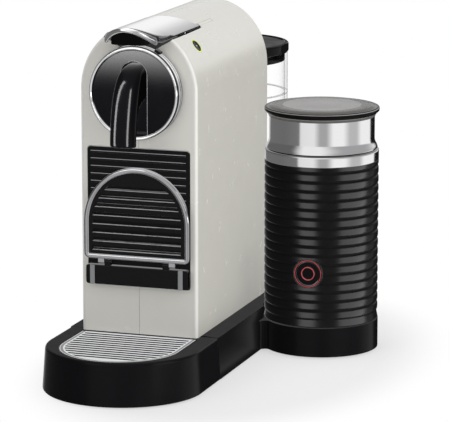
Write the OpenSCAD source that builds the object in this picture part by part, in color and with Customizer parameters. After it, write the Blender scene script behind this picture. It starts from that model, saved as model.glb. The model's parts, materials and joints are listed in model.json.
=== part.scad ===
// Pod coffee machine with a milk frother standing on one base.
// Machine frame: X is 0 on the machine's centre line, Y is 0 on its front face, Z is 0 on the table.
// Every node is moved at the end so that the origin is under the middle of the whole object.

/* [Base] */
// Half width of the base at its foot
base_half_w = 64; // [60:0.5:70]
// Height of the top of the base
base_top = 34.8; // [32:0.2:38]
// How far the base's sides lean in towards the top
base_lean = 2; // [0:0.5:4]
// Wall of the base moulding
base_wall = 2.6; // [2:0.2:4]
// Height of the base's lower rim above the table
base_rim = 1.5; // [1:0.1:2.5]
// Thickness of the bottom plate
plate_t = 2; // [1.5:0.25:3]
// How far the bottom plate is set up inside the rim
plate_inset = 0.9; // [0.5:0.1:1.5]
// Where the drip tray meets the base
tray_seam_y = 10; // [6:1:20]
// Radius of a rubber foot
foot_r = 7; // [5:0.5:9]
// Radius of a bottom screw's shank
screw_r = 1.5; // [1.2:0.1:2]

/* [Drip tray] */
// Centre of the tray's round front
tray_nose_y = -34; // [-40:1:-28]
// How far the tray's front leans in towards the top
tray_lean = 5; // [2:0.5:7]
// Wall of the drip tray
tray_wall = 2.6; // [2:0.2:4]
// Half width of the drip grid
grid_half_w = 47.5; // [42:0.5:52]
// Centre of the drip grid's round front
grid_nose_y = -42; // [-46:1:-38]
// Thickness of the drip grid
grid_t = 2.4; // [1.6:0.2:4]
// Spacing of the drip grid's bars
grid_pitch = 6.4; // [5:0.2:9]
// Width of one drip grid bar
grid_bar = 3; // [2:0.2:4]

/* [Body] */
// Half width of the body
body_half_w = 48.3; // [44:0.1:52]
// Length of the body from front to back
body_len = 178.4; // [160:0.2:200]
// Height at which the sides turn into the arched roof
spring_z = 229; // [215:1:240]
// Rise of the arched roof above that height
roof_rise = 52; // [48:0.5:56]
// Wall of the body shells
shell_wall = 2.5; // [2:0.1:3.5]
// Gap between the base and the body shells
body_lift = 0.8; // [0.4:0.1:1.6]
// Thickness of the inner frame's plates
frame_t = 3; // [2:0.25:4]

/* [Front ring and spout] */
// Outer radius of the front ring
ring_r = 37; // [34:0.25:40]
// Width of the ring's rim
ring_w = 2.6; // [2:0.1:4]
// How far the ring stands out of the front face
ring_out = 12.6; // [8:0.2:16]
// How far the disc stands out of the front face
disc_out = 10; // [6:0.2:12]
// Half width of the spout's arched recess in the disc
recess_half_w = 11; // [9:0.25:13]
// Top of the recess above the ring's centre
recess_rise = 25.3; // [22:0.1:28]
// Half width of the spout at its mouth
spout_half_w = 10.4; // [8:0.1:10.6]
// How far the spout's mouth stands out of the front face
spout_out = 40.5; // [34:0.5:46]
// Depth of the spout's mouth below the ring's centre
spout_drop = 38; // [34:0.5:42]

/* [Lever] */
// Half width of the lever hood
lever_half_w = 26.2; // [24:0.1:28]
// How far the lever's nose stands out of the front face
lever_out = 31; // [26:0.5:36]
// Length of the nose's rounding in plan
lever_nose = 33.5; // [28:0.5:36]
// Thickness of the lever hood
lever_t = 1.6; // [1.4:0.1:2.2]
// Where the middle of the lever's rear edge is
lever_back_y = 57.2; // [54:0.2:60]
// Radius of the lever's rear edge in plan
lever_back_r = 32; // [30:1:60]
// Thickness of the lever's side arms
arm_t = 1.6; // [1.2:0.1:2]
// Place of the lever's pivot behind the front face
pivot_y = 92; // [84:0.5:96]
// Height of the lever's pivot
pivot_z = 264; // [260:0.5:267]
// Radius of the lever's pin
pin_r = 2; // [1.5:0.1:2.5]

/* [Brew unit] */
// Radius of the capsule cage
cage_r = 17; // [14:0.5:17.5]
// Length of the capsule cage
cage_len = 30; // [26:1:34]
// Wall of the capsule cage
cage_wall = 1.8; // [1.5:0.1:2.4]
// Travel of the capsule cage when the lever opens
cage_travel = 12; // [8:1:16]
// Thickness of the pressure head
head_t = 6; // [4:0.5:8]
// Radius of the water heater
heater_r = 27; // [22:0.5:32]
// Length of the water heater
heater_len = 46; // [36:1:56]
// Radius of the pump
pump_r = 20; // [16:0.5:24]
// Length of the pump
pump_len = 64; // [50:1:80]

/* [Brew buttons] */
// Radius of a brew button
button_r = 4.8; // [4:0.1:6]
// Width of the lit ring around a brew button
button_ring_w = 0.9; // [0.6:0.1:1.4]
// Travel of a brew button
button_travel = 1.2; // [0.8:0.1:1.6]
// Place of the brew buttons behind the front face
button_y = 32.6; // [28:0.2:42]
// Angle of the brew buttons around the roof, from level
button_turn = 39.8; // [34:0.2:50]

/* [Capsule container] */
// Half width of the ribbed front panel
panel_half_w = 42.3; // [38:0.1:44]
// Height of the lower edge of the ribbed panel
panel_low_z = 73.7; // [70:0.1:80]
// Height of the upper edge of the ribbed panel
panel_top_z = 184.2; // [178:0.1:188]
// Spacing of the panel's ribs
rib_pitch = 5.95; // [5:0.05:8]
// Depth of the capsule container behind the front face
bin_len = 96; // [80:1:110]
// Wall of the capsule container
bin_wall = 2; // [1.5:0.1:3]

/* [Cup support] */
// Half width of the folding cup support
support_half_w = 43.7; // [38:0.1:45]
// Height of the cup support's hinge
support_hinge_z = 93.4; // [90:0.2:96]
// Height of the top of the folded cup support
support_top_z = 169.4; // [160:0.2:174]
// Rise of the cup support's arched end
support_rise = 44.5; // [36:0.5:48]
// Width of the cup support's chrome rim
support_rim = 3.8; // [3:0.1:5]
// Thickness of the cup support
support_t = 5; // [4:0.25:7]
// Spacing of the cup support's bars
support_pitch = 6.9; // [6:0.1:9]
// Width of one cup support bar
support_bar = 3.4; // [2.4:0.1:4.4]

/* [Water tank] */
// Centre of the tank's round wall behind the front face
tank_y = 211; // [205:0.5:216]
// Outer radius of the tank
tank_r = 53; // [48:0.5:56]
// Wall of the tank
tank_wall = 2.2; // [1.6:0.1:3]
// Height of the tank's rim
tank_top_z = 232; // [215:1:245]
// Radius of the base's seat under the tank
tank_seat_r = 57; // [54:0.5:60]
// Height of the tank lid's band
lid_band_h = 8; // [6:0.5:12]
// Depth of the tank lid's plug
lid_plug_h = 7; // [5:0.5:10]
// Radius of the tank valve's stem
valve_r = 7; // [5:0.25:9]

/* [Frother] */
// Place of the frother's centre to the side
frother_x = 104.8; // [102:0.2:112]
// Place of the frother's centre behind the front face
frother_y = 147.3; // [140:0.5:155]
// Radius of the frother's round base
puck_r = 47; // [45:0.25:50]
// Height of the frother's round base
puck_top = 25.3; // [22:0.1:28]
// Radius of the ribbed sleeve over its ribs
sleeve_r = 46.6; // [44:0.1:49]
// Depth of the grooves between the ribs
rib_depth = 0.9; // [0.5:0.1:1.4]
// Spacing of the sleeve's ribs
sleeve_pitch = 7.54; // [6:0.02:9]
// Number of the sleeve's ribs
sleeve_ribs = 17; // [14:1:19]
// Wall of the sleeve
sleeve_wall = 3; // [2.4:0.1:4]
// Radius of the steel jug inside the sleeve
jug_r = 40; // [37:0.5:41]
// Wall of the steel jug
jug_wall = 0.9; // [0.7:0.1:1.5]
// Height of the steel jug's floor
jug_floor_z = 84; // [80:1:95]
// Height of the steel collar above the sleeve
collar_h = 41.4; // [34:0.2:48]
// Radius of the collar's neck
neck_r = 43.75; // [42:0.25:46]
// Radius of the round button on the sleeve
jug_button_r = 9.6; // [8:0.2:11]
// Height of the round button above the table
jug_button_z = 70.5; // [64:0.5:74]
// Angle of the round button around the sleeve
jug_button_turn = -86.5; // [-110:0.5:-60]
// Travel of the round button
jug_button_travel = 1.2; // [0.8:0.1:1.6]
// Radius of the steel jug's flared lip
jug_lip_r = 46.6; // [45.5:0.1:49]
// Radius of the round connector under the jug
hub_r = 13; // [10:0.5:16]
// Radius of the whisk's coil
whisk_r = 11; // [9:0.5:14]

/* [Fits] */
// Gap between moulded pieces that meet
fit = 0.3; // [0.2:0.05:0.5]
// Gap all round a piece that slides or swings
slip = 0.4; // [0.3:0.05:0.6]
// Radial gap of a pin in its bore
run = 0.05; // [0.03:0.01:0.09]
// Gap under a piece that stands loose on another
stand = 0.1; // [0.05:0.05:0.3]

/* [Hidden] */
$fn = 96;

// over is what a cut runs past the surface it opens
over = 1;
arch_steps = 40;

// the whole object's footprint, and the machine's place over the origin
base_front_y = tray_nose_y - base_half_w;
base_back_y = tank_y + tank_seat_r;
machine_x = -(frother_x + puck_r - base_half_w) / 2;
machine_y = -(base_back_y + base_front_y) / 2;

body_low_z = base_top + body_lift;
roof_z = spring_z + roof_rise;
inner_half_w = body_half_w - shell_wall;
inner_rise = roof_rise - shell_wall;
frame_half_w = inner_half_w - fit;
ring_z = spring_z;
ring_inner_r = ring_r - ring_w;
disc_hole_r = ring_inner_r - 1.2;
plate_low = base_rim + plate_inset;
plate_top = plate_low + plate_t;

// ---- shared shapes ----

// moves a piece from the machine's frame to the part's own frame
module machine() {
    translate([machine_x, machine_y, 0]) children();
}

module frother() {
    translate([machine_x + frother_x, machine_y + frother_y, 0]) children();
}

module both_sides() {
    children();
    mirror([1, 0, 0]) children();
}

// extrudes an outline drawn in X and Z from one Y to another
module along_y(y0, y1) {
    translate([0, y1, 0]) rotate([90, 0, 0]) linear_extrude(y1 - y0) children();
}

// extrudes an outline drawn in Y and Z from one X to another
module along_x(x0, x1) {
    translate([x0, 0, 0]) rotate([90, 0, 90]) linear_extrude(x1 - x0) children();
}

module rod_x(x0, x1, y, z, r) {
    translate([x0, y, z]) rotate([0, 90, 0]) cylinder(r = r, h = x1 - x0);
}

module rod_y(y0, y1, x, z, r) {
    translate([x, y0, z]) rotate([-90, 0, 0]) cylinder(r = r, h = y1 - y0);
}

module box(x0, x1, y0, y1, z0, z1) {
    translate([x0, y0, z0]) cube([x1 - x0, y1 - y0, z1 - z0]);
}

module tube(r_out, r_in, z0, z1) {
    translate([0, 0, z0]) difference() {
        cylinder(r = r_out, h = z1 - z0);
        translate([0, 0, -over]) cylinder(r = r_in, h = z1 - z0 + 2 * over);
    }
}

// points on the body's arched section, from one angle to another
function arc_points(w, rise, from, to) =
    let (steps = ceil(abs(to - from) * arch_steps / 90))
    [for (i = [0:steps]) let (a = from + (to - from) * i / steps) [w * cos(a), spring_z + rise * sin(a)]];

// the body's section with its walls moved in by a distance
module body_section(inset, low) {
    w = body_half_w - inset;
    polygon(concat([[w, low]], arc_points(w, roof_rise - inset, 0, 180), [[-w, low]]));
}

// one side of a band that follows the section, between two angles
module roof_band(outer, inner, from, to) {
    polygon(concat(
        arc_points(body_half_w - outer, roof_rise - outer, from, to),
        arc_points(body_half_w - inner, roof_rise - inner, to, from)));
}

// ---- base ----

platform_back_y = body_len + 8;
platform_corner = 14;

module platform_plan(inset) {
    w = base_half_w - inset;
    y0 = tray_seam_y + inset;
    y1 = platform_back_y - inset;
    c = platform_corner;
    translate([-w, y0]) square([2 * w, y1 - y0 - c]);
    translate([-w + c, y0]) square([2 * (w - c), y1 - y0]);
    for (s = [-1, 1]) translate([s * (w - c), y1 - c]) circle(r = c);
}

// the concave corner where the base's side runs into the frother's round base
bridge_fillet = 4;
bridge_dx = base_half_w + bridge_fillet - frother_x;
bridge_dy = sqrt(pow(puck_r + bridge_fillet, 2) - bridge_dx * bridge_dx);
bridge_y = frother_y - bridge_dy;

module bridge_plan(inset) {
    difference() {
        polygon([
            [base_half_w - base_lean - base_wall, bridge_y + inset],
            [base_half_w + bridge_fillet, bridge_y + inset],
            [frother_x, frother_y],
            [base_half_w - base_lean - base_wall, frother_y + puck_r * 0.4 - inset]
        ]);
        translate([base_half_w + bridge_fillet, bridge_y]) circle(r = bridge_fillet + inset);
    }
}

module base_block(inset, low, drop) {
    top = base_top - drop;
    intersection() {
        along_y(tray_seam_y + inset, platform_back_y - inset) polygon([
            [-base_half_w + inset, low], [base_half_w - inset, low],
            [base_half_w - base_lean - inset, top], [-base_half_w + base_lean + inset, top]
        ]);
        translate([0, 0, low]) linear_extrude(top - low) platform_plan(inset);
    }
    translate([0, tank_y, low]) cylinder(r = tank_seat_r - inset, h = top - low);
    translate([frother_x, frother_y, low]) cylinder(r = puck_r - inset, h = puck_top - drop - low);
    translate([0, 0, low]) linear_extrude(puck_top - drop - low) bridge_plan(inset);
}

screw_places = [
    [-50, 26], [50, 26], [-50, 150], [50, 150], [-40, 234], [40, 234],
    [frother_x + 24, frother_y], [frother_x - 24, frother_y]
];
foot_places = [
    [-50, 44], [50, 44], [-50, 128], [50, 128], [-28, 228], [28, 228], [frother_x + 8, frother_y - 32],
    [frother_x + 8, frother_y + 32]
];
boss_r = 4;
screw_head_r = 3;
screw_head_h = 1.4;
gland_x = -30;
gland_z = 15;
gland_r = 5.5;
gland_bore_r = 3.2;
gland_len = 12;
gland_y = tank_y + sqrt(pow(tank_seat_r, 2) - gland_x * gland_x);
hose_x = 14;
hose_y0 = 152;
hose_y1 = 168;
frother_gap_r = sleeve_r + 2 * slip;
tray_tongue_w = 6;
tray_tongue_len = 14;
tray_tongue_x = 30;
tray_tongue_z = [8, 16];

module base_housing() {
    color("#101113") machine() difference() {
        base_block(0, base_rim, 0);
        difference() {
            base_block(base_wall, base_rim - over, base_wall);
            for (p = screw_places)
                translate([p[0], p[1], plate_top + stand]) cylinder(r = boss_r, h = base_top);
            translate([frother_x, frother_y, puck_top - base_wall])
                cylinder(r = frother_gap_r + base_wall, h = base_top);
        }
        translate([frother_x, frother_y, puck_top]) cylinder(r = frother_gap_r, h = base_top);
        for (p = screw_places)
            translate([p[0], p[1], plate_top]) cylinder(r = screw_r, h = puck_top - base_wall - plate_top);
        box(-hose_x, hose_x, hose_y0, hose_y1, base_top - base_wall - over, base_top + over);
        for (p = frame_screw_places)
            translate([p[0], p[1], base_top - base_wall - over]) cylinder(r = screw_r, h = base_wall + 2 * over);
        translate([0, tank_y, puck_top]) cylinder(r = valve_seat_r, h = base_top);
        translate([frother_x, frother_y, puck_top - base_wall - over]) cylinder(r = hub_r, h = base_wall + 2 * over);
        rod_y(gland_y - gland_len - over, base_back_y + over, gland_x, gland_z, gland_r + run);
        for (s = [-1, 1])
            box(s * tray_tongue_x - tray_tongue_w / 2 - slip, s * tray_tongue_x + tray_tongue_w / 2 + slip,
                tray_seam_y - over, tray_seam_y + base_wall + over,
                tray_tongue_z[0] - slip, tray_tongue_z[1] + slip);
    }
}

module base_plate() {
    color("#1b1c1e") machine() difference() {
        intersection() {
            base_block(base_wall + fit, plate_low, base_wall);
            box(-base_half_w, frother_x + puck_r, tray_seam_y, base_back_y, plate_low, plate_top);
        }
        for (p = screw_places) {
            translate([p[0], p[1], plate_low - over]) cylinder(r = screw_r, h = plate_t + 2 * over);
        }
    }
}

module rubber_feet() {
    color("#2a2a2a") machine() for (p = foot_places)
        translate([p[0], p[1], 0]) cylinder(r = foot_r, h = plate_low);
}

// how far the base's screws reach into its bosses
screw_bite = 9;

module base_screws() {
    color("silver") machine() for (p = screw_places) {
        translate([p[0], p[1], plate_low]) cylinder(r = screw_r, h = plate_t + screw_bite);
        translate([p[0], p[1], plate_low - screw_head_h]) cylinder(r = screw_head_r, h = screw_head_h);
    }
}

module cord_gland() {
    color("#141414") machine() difference() {
        union() {
            rod_y(gland_y - gland_len, gland_y + 3, gland_x, gland_z, gland_r);
            rod_y(gland_y - gland_len, gland_y - gland_len + 2, gland_x, gland_z, gland_r + 1.5);
        }
        rod_y(gland_y - gland_len - over, gland_y + 3 + over, gland_x, gland_z, gland_bore_r);
    }
}

hub_top = puck_top + 6;
hub_pin_r = 2.4;
hub_pin_h = 3;

module contact_hub() {
    color("#18191b") frother() {
        translate([0, 0, puck_top - 8]) cylinder(r = hub_r, h = hub_top - puck_top + 8);
        translate([0, 0, hub_top]) cylinder(r = hub_pin_r, h = hub_pin_h);
    }
}

// ---- body ----

seam_gap = 0.15;
slot_half_w = lever_half_w + fit;
slot_turn = acos(slot_half_w / body_half_w);
nose_half_w = lever_half_w - arm_t - 2 * slip;
slot_back_y = pivot_y + 10;
lever_gap = lever_t * 0.65;
neck_half_w = 16;
neck_low_z = ring_z + disc_hole_r - 1;
panel_hole = panel_half_w + slip;

button_x = body_half_w * cos(button_turn);
button_z = spring_z + roof_rise * sin(button_turn);
button_tilt = atan2(cos(button_turn) / body_half_w, sin(button_turn) / roof_rise);
button_ring_r = button_r + fit + button_ring_w;

// stands on the roof at the right-hand brew button, with Z pointing out of the roof
module at_button() {
    translate([button_x, button_y, button_z]) rotate([0, button_tilt, 0]) children();
}

module lever_slot_plan(gap) {
    difference() {
        translate([-slot_half_w, -lever_out]) square([2 * slot_half_w, lever_out + slot_back_y]);
        intersection() {
            translate([0, lever_back_y + lever_back_r + gap]) circle(r = lever_back_r, $fn = 240);
            translate([-nose_half_w, 0]) square([2 * nose_half_w, body_len]);
        }
    }
}

module side_shell() {
    difference() {
        union() {
            along_y(0, body_len) {
                polygon([
                    [inner_half_w, body_low_z], [body_half_w, body_low_z],
                    [body_half_w, spring_z], [inner_half_w, spring_z]
                ]);
                roof_band(0, shell_wall, 0, 90);
            }
            along_y(0, shell_wall) intersection() {
                body_section(shell_wall / 2, body_low_z);
                translate([seam_gap, 0]) square([body_half_w, roof_z]);
            }
        }
        box(-over, seam_gap, -over, body_len + over, ring_z, roof_z + over);
        intersection() {
            translate([0, 0, spring_z]) linear_extrude(roof_rise + over) lever_slot_plan(lever_gap);
            box(-over, slot_half_w, shell_wall, body_len, pivot_z, roof_z + over);
        }
        intersection() {
            box(-over, slot_half_w, -over, shell_wall + over, pivot_z, roof_z + over);
            along_y(-over, shell_wall + over) difference() {
                translate([0, spring_z]) square([body_half_w, roof_rise + over]);
                body_section(lever_t + 2 * slip, body_low_z);
            }
        }
        box(-over, neck_half_w, -over, shell_wall + over, neck_low_z, roof_z + over);
        rod_y(-over, shell_wall + over, 0, ring_z, disc_hole_r);
        box(-over, panel_hole, -over, shell_wall + over, panel_low_z - slip, panel_top_z + slip);
        at_button() translate([0, 0, -10]) cylinder(r = button_ring_r, h = 20);
    }
}

module side_shell_right() {
    color("#dcdcd4") machine() side_shell();
}

module side_shell_left() {
    color("#dcdcd4") machine() mirror([1, 0, 0]) side_shell();
}

rear_t = 2.5;
vent_w = 24;
vent_pitch = 6;

module rear_cover() {
    color("#17181a") machine() difference() {
        along_y(body_len - rear_t, body_len) body_section(shell_wall + fit, body_low_z);
        for (i = [0:5]) box(-vent_w, vent_w, body_len - rear_t - over, body_len + over,
            250 + (i - 5) * vent_pitch, 253 + (i - 5) * vent_pitch);
    }
}

deck_z = panel_top_z + 3;
bin_half_w = panel_half_w - 4;
bin_low_z = panel_low_z + 2;
wall_y = bin_len + 8;
lug_t = 4;
lug_x = nose_half_w - arm_t - lug_t;
lug_r = pin_r + 2.2;
frame_front_y = shell_wall + fit;
frame_back_y = body_len - rear_t - fit;
frame_screw_x = frame_half_w - frame_t - 6;
frame_screw_places = [for (x = [-frame_screw_x, frame_screw_x], y = [tray_seam_y + 8, frame_back_y - 8]) [x, y]];
runner_in = 8;
cheek_back_y = pivot_y + 12;
cheek_rise = 30;

module inner_frame() {
    color("#26282b") machine() difference() {
        union() {
            // floor on the base
            box(-frame_half_w, frame_half_w, tray_seam_y + fit, frame_back_y, base_top, base_top + frame_t);
            // side cheeks
            both_sides() box(frame_half_w - frame_t, frame_half_w, frame_front_y, frame_back_y,
                base_top + frame_t / 2, spring_z);
            // deck over the capsule container
            box(-frame_half_w, frame_half_w, frame_front_y, wall_y, deck_z, deck_z + frame_t);
            // wall behind the capsule container
            box(-frame_half_w, frame_half_w, wall_y, wall_y + frame_t, base_top, deck_z + frame_t);
            // rear shelf for the heater
            box(-frame_half_w, frame_half_w, wall_y, frame_back_y, deck_z, deck_z + frame_t);
            // runners under the container
            both_sides() box(bin_half_w - runner_in, frame_half_w, frame_front_y, wall_y,
                bin_low_z - fit - frame_t, bin_low_z - fit);
            // cheeks of the brew unit with the lever's lugs
            both_sides() difference() {
                union() {
                    box(lug_x, lug_x + lug_t, head_y, cheek_back_y, deck_z, ring_z + cheek_rise);
                    box(lug_x, lug_x + lug_t, pivot_y - lug_r, pivot_y + lug_r, ring_z, pivot_z);
                    rod_x(lug_x, lug_x + lug_t, pivot_y, pivot_z, lug_r);
                }
                box(lug_x - over, lug_x + lug_t + over, cage_y, cage_y + cage_len, deck_z + frame_t, ring_z + cage_r);
                rod_y(heater_y - heater_gap, frame_back_y, 0, heater_z, heater_r + heater_gap);
            }
        }
        both_sides() rod_x(lug_x - over, lug_x + lug_t + over, pivot_y, pivot_z, pin_r);
        // the gap that spent capsules drop through
        box(-cage_r, cage_r, cage_y, cage_y + cage_len + cage_travel, deck_z - over, deck_z + frame_t + over);
        box(-hose_x, hose_x, hose_y0, hose_y1, base_top - over, base_top + frame_t + over);
        for (p = frame_screw_places)
            translate([p[0], p[1], base_top - over]) cylinder(r = screw_r, h = frame_t + 2 * over);
    }
}

module frame_screws() {
    color("silver") machine() for (p = frame_screw_places) {
        translate([p[0], p[1], base_top - base_wall]) cylinder(r = screw_r, h = base_wall + frame_t);
        translate([p[0], p[1], base_top + frame_t]) cylinder(r = screw_head_r, h = screw_head_h);
    }
}

// ---- front ring, disc and spout ----

module front_ring() {
    color("#d5d7da") machine() translate([0, 0, ring_z]) rotate([90, 0, 0]) rotate_extrude() polygon([
        [ring_inner_r, 0], [ring_inner_r, ring_out - 1.6], [ring_inner_r + 0.5, ring_out - 0.4],
        [ring_inner_r + 1.1, ring_out], [ring_inner_r + 1.7, ring_out - 0.5],
        [ring_inner_r + 1.9, ring_out - 1.6], [ring_inner_r + 1.9, ring_out - 3.2],
        [ring_r, ring_out - 3.8], [ring_r, 2.2], [ring_r - 0.5, 1.6], [ring_r - 0.5, 0]
    ]);
}

disc_back = 4;
recess_floor_y = 1;

module recess_outline() {
    translate([0, ring_z + recess_rise - recess_half_w]) circle(r = recess_half_w);
    translate([-recess_half_w, ring_z - ring_r]) square([2 * recess_half_w, ring_r + recess_rise - recess_half_w]);
}

module front_disc() {
    color("#0c0c0e") machine() difference() {
        union() {
            rod_y(-disc_out, 0, 0, ring_z, ring_inner_r - fit);
            rod_y(0, disc_back, 0, ring_z, disc_hole_r - fit);
        }
        along_y(-disc_out - over, recess_floor_y) recess_outline();
    }
}

spout_top = ring_z + recess_rise - 3;
mouth_z = ring_z - spout_drop;
outlet_r = 1.8;

// the spout seen from the side, as Y and Z
module spout_side() {
    polygon([
        [recess_floor_y, spout_top - 1], [-8, spout_top], [-spout_out + 22, spout_top - 3],
        [-spout_out + 12, spout_top - 11], [-spout_out + 6, spout_top - 23],
        [-spout_out + 2.4, mouth_z + 24], [-spout_out + 0.6, mouth_z + 10], [-spout_out, mouth_z + 1.6],
        [-spout_out + 2.6, mouth_z], [-spout_out + 11.5, mouth_z],
        [-spout_out + 12.6, mouth_z + 10], [-spout_out + 15.5, mouth_z + 22],
        [-spout_out + 21, mouth_z + 30], [-8, mouth_z + 34], [recess_floor_y, mouth_z + 35]
    ]);
}

// the spout seen from the front, as X and Z
module spout_front() {
    w = spout_half_w;
    polygon([
        [-w, mouth_z - over], [w, mouth_z - over], [w, mouth_z + 24], [w - 1.2, mouth_z + 40],
        [w - 3.2, spout_top - 6], [w - 5, spout_top + over], [-w + 5, spout_top + over],
        [-w + 3.2, spout_top - 6], [-w + 1.2, mouth_z + 40], [-w, mouth_z + 24]
    ]);
}

module spout() {
    color("#0a0a0b") machine() difference() {
        intersection() {
            along_x(-spout_half_w, spout_half_w) spout_side();
            along_y(-spout_out - over, recess_floor_y + over) spout_front();
        }
        for (s = [-1, 1]) translate([s * spout_half_w / 2, -spout_out + 7, mouth_z - over])
            cylinder(r = outlet_r, h = 12);
    }
}

latch_turn = 60;

module spout_latch() {
    color("#c9cbce") machine() translate([0, 0, ring_z]) rotate([0, -latch_turn, 0])
        translate([ring_r, -9, -2.5]) cube([2.2, 6, 5]);
}

// ---- lever ----

hood_turn = acos(lever_half_w / body_half_w);

// the lever hood seen from above
module hood_plan() {
    nose_y = lever_nose - lever_out;
    difference() {
        union() {
            polygon([for (i = [0:arch_steps]) let (a = 180 + 180 * i / arch_steps)
                [lever_half_w * cos(a), nose_y + lever_nose * sin(a)]]);
            translate([-lever_half_w, nose_y - 0.01]) square([2 * lever_half_w, lever_back_y + 15 - nose_y]);
        }
        translate([0, lever_back_y + lever_back_r]) circle(r = lever_back_r, $fn = 240);
    }
}

hood_out = 0.2;
hood_in = lever_t - hood_out;
lip_t = 4;
lip_rise = 1.8;
lip_drop = 2.2;
// how far the lip's lower edge hangs down at the lever's sides, below its middle
lip_droop = 17.5;
lip_end_y = -14;
// the rolled lip seen from above: a crescent around the nose
module lip_plan() {
    difference() {
        hood_plan();
        translate([0, lip_t]) hood_plan();
        translate([-body_half_w, lip_end_y]) square([2 * body_half_w, body_len]);
    }
}

module lever_hood() {
    color("#d9dbde") machine() intersection() {
        along_y(-lever_out - over, pivot_y) roof_band(-hood_out, hood_in, hood_turn, 180 - hood_turn);
        translate([0, 0, spring_z]) linear_extrude(roof_rise + 5) difference() {
            hood_plan();
            lip_plan();
        }
    }
}

// the lip seen from the front: the roof's arch above, a steeper arch below
module lip_face() {
    intersection() {
        body_section(-lip_rise, spring_z);
        polygon(concat(
            [for (i = [-arch_steps / 2:arch_steps / 2]) let (share = 2 * i / arch_steps)
                [lever_half_w * share, roof_z - lip_drop - lip_droop * share * share]],
            [[lever_half_w, roof_z + lip_rise], [-lever_half_w, roof_z + lip_rise]]));
    }
}

module lever_lip() {
    color("#d9dbde") machine() intersection() {
        along_y(-lever_out - over, 0) lip_face();
        translate([0, 0, spring_z]) linear_extrude(roof_rise + 5) lip_plan();
    }
}

liner_half_w = 14;
liner_low_z = ring_z + ring_r + 2.4;
liner_front_y = -lever_out + lip_t + 3;
liner_back_y = 38;

module lever_liner() {
    color("#121214") machine() intersection() {
        along_y(liner_front_y, liner_back_y) body_section(hood_in + seam_gap, spring_z);
        translate([0, 0, liner_low_z]) linear_extrude(roof_rise) intersection() {
            translate([0, lip_t + fit]) hood_plan();
            translate([-liner_half_w, liner_front_y]) square([2 * liner_half_w, liner_back_y - liner_front_y]);
        }
    }
}

arm_x = lever_half_w - arm_t;
arm_r = 4;
// where the arms come out from under the hood's rear corners
arm_top_y = lever_back_y + lever_back_r - sqrt(pow(lever_back_r, 2) - lever_half_w * lever_half_w) + fit;

module lever_arms() {
    color("#b9bcc0") machine() both_sides() difference() {
        intersection() {
            along_x(arm_x, lever_half_w) union() {
                translate([pivot_y, pivot_z]) circle(r = arm_r);
                polygon([
                    [pivot_y - 1, pivot_z - arm_r], [pivot_y + 1, pivot_z + arm_r], [pivot_y - 3, roof_z],
                    [lever_back_y - 16, roof_z], [lever_back_y - 16, pivot_z + 3]
                ]);
            }
            union() {
                along_y(0, pivot_y + arm_r + over) body_section(hood_in + seam_gap, ring_z);
                along_y(arm_top_y, pivot_y) body_section(seam_gap, ring_z);
            }
        }
        rod_x(arm_x - over, lever_half_w + over, pivot_y, pivot_z, pin_r + run);
    }
}

module lever_pins() {
    color("#8f9296") machine() both_sides() rod_x(lug_x, lever_half_w, pivot_y, pivot_z, pin_r);
}

// ---- brew unit ----

head_y = disc_back + fit;
cage_y = head_y + head_t + fit;

module pressure_head() {
    color("#3a3c40") machine() difference() {
        union() {
            rod_y(head_y, head_y + head_t, 0, ring_z, cage_r + 0.6);
            box(-lug_x, lug_x, head_y, head_y + head_t, deck_z + frame_t, ring_z);
        }
        rod_y(head_y - over, head_y + head_t + over, 0, ring_z - 8, 1.8);
    }
}

module capsule_cage() {
    color("#c58b3a") machine() {
        difference() {
            rod_y(cage_y, cage_y + cage_len, 0, ring_z, cage_r);
            rod_y(cage_y - over, cage_y + cage_len - 4, 0, ring_z, cage_r - cage_wall);
        }
        rod_y(cage_y + cage_len, cage_y + cage_len + 14, 0, ring_z, 8);
    }
}

chute_z = ring_z + cage_r + 2;
chute_half_w = lug_x - fit;
chute_top = liner_low_z - 1;

module capsule_chute() {
    color("#1d1e21") machine() difference() {
        box(-chute_half_w, chute_half_w, head_y, cage_y + cage_len + 2, chute_z, chute_top);
        box(-chute_half_w + 2, chute_half_w - 2, cage_y, cage_y + cage_len, chute_z - over, chute_top + over);
    }
}

// room that the frame keeps around the heater
heater_gap = 4;
// room behind the heater for its ports and hoses
heater_back_room = 18;
heater_port_len = 6;
heater_port_x = 12;
inlet_port_r = 5;
outlet_port_r = 4;
heater_y = frame_back_y - heater_len - heater_back_room;
heater_z = deck_z + frame_t + heater_gap + heater_r;
bracket_in = 8;
bracket_wall = 3;

module water_heater() {
    color("#a9adb2") machine() {
        rod_y(heater_y, heater_y + heater_len, 0, heater_z, heater_r);
        rod_y(heater_y - heater_port_len, heater_y, 0, heater_z, inlet_port_r);
        for (s = [-1, 1])
            rod_y(heater_y + heater_len, heater_y + heater_len + heater_port_len,
                s * heater_port_x, heater_z, outlet_port_r);
    }
}

module heater_bracket() {
    color("#8b8f94") machine() difference() {
        box(-heater_r - bracket_wall, heater_r + bracket_wall, heater_y + bracket_in,
            heater_y + heater_len - bracket_in, deck_z + frame_t, heater_z);
        rod_y(heater_y, heater_y + heater_len, 0, heater_z, heater_r + run);
    }
}

pump_x = 12;
pump_y = wall_y + frame_t + 4 + pump_r;
pump_z = base_top + frame_t + 10;
pump_stub_h = 14;
mount_in = 2;
mount_wall = 6;

module pump() {
    color("#6e7277") machine() translate([pump_x, pump_y, 0]) {
        translate([0, 0, pump_z]) cylinder(r = pump_r, h = pump_len);
        translate([0, 0, pump_z + pump_len]) cylinder(r = 6, h = pump_stub_h);
    }
}

module pump_mounts() {
    color("#202020") machine() translate([pump_x, pump_y, 0]) {
        tube(pump_r - mount_in, pump_r - mount_in - mount_wall, base_top + frame_t, pump_z);
    }
}

meter_x = -26;
meter_y = pump_y;
meter_r = 12;
meter_h = 16;
meter_stub_h = 10;

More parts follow.
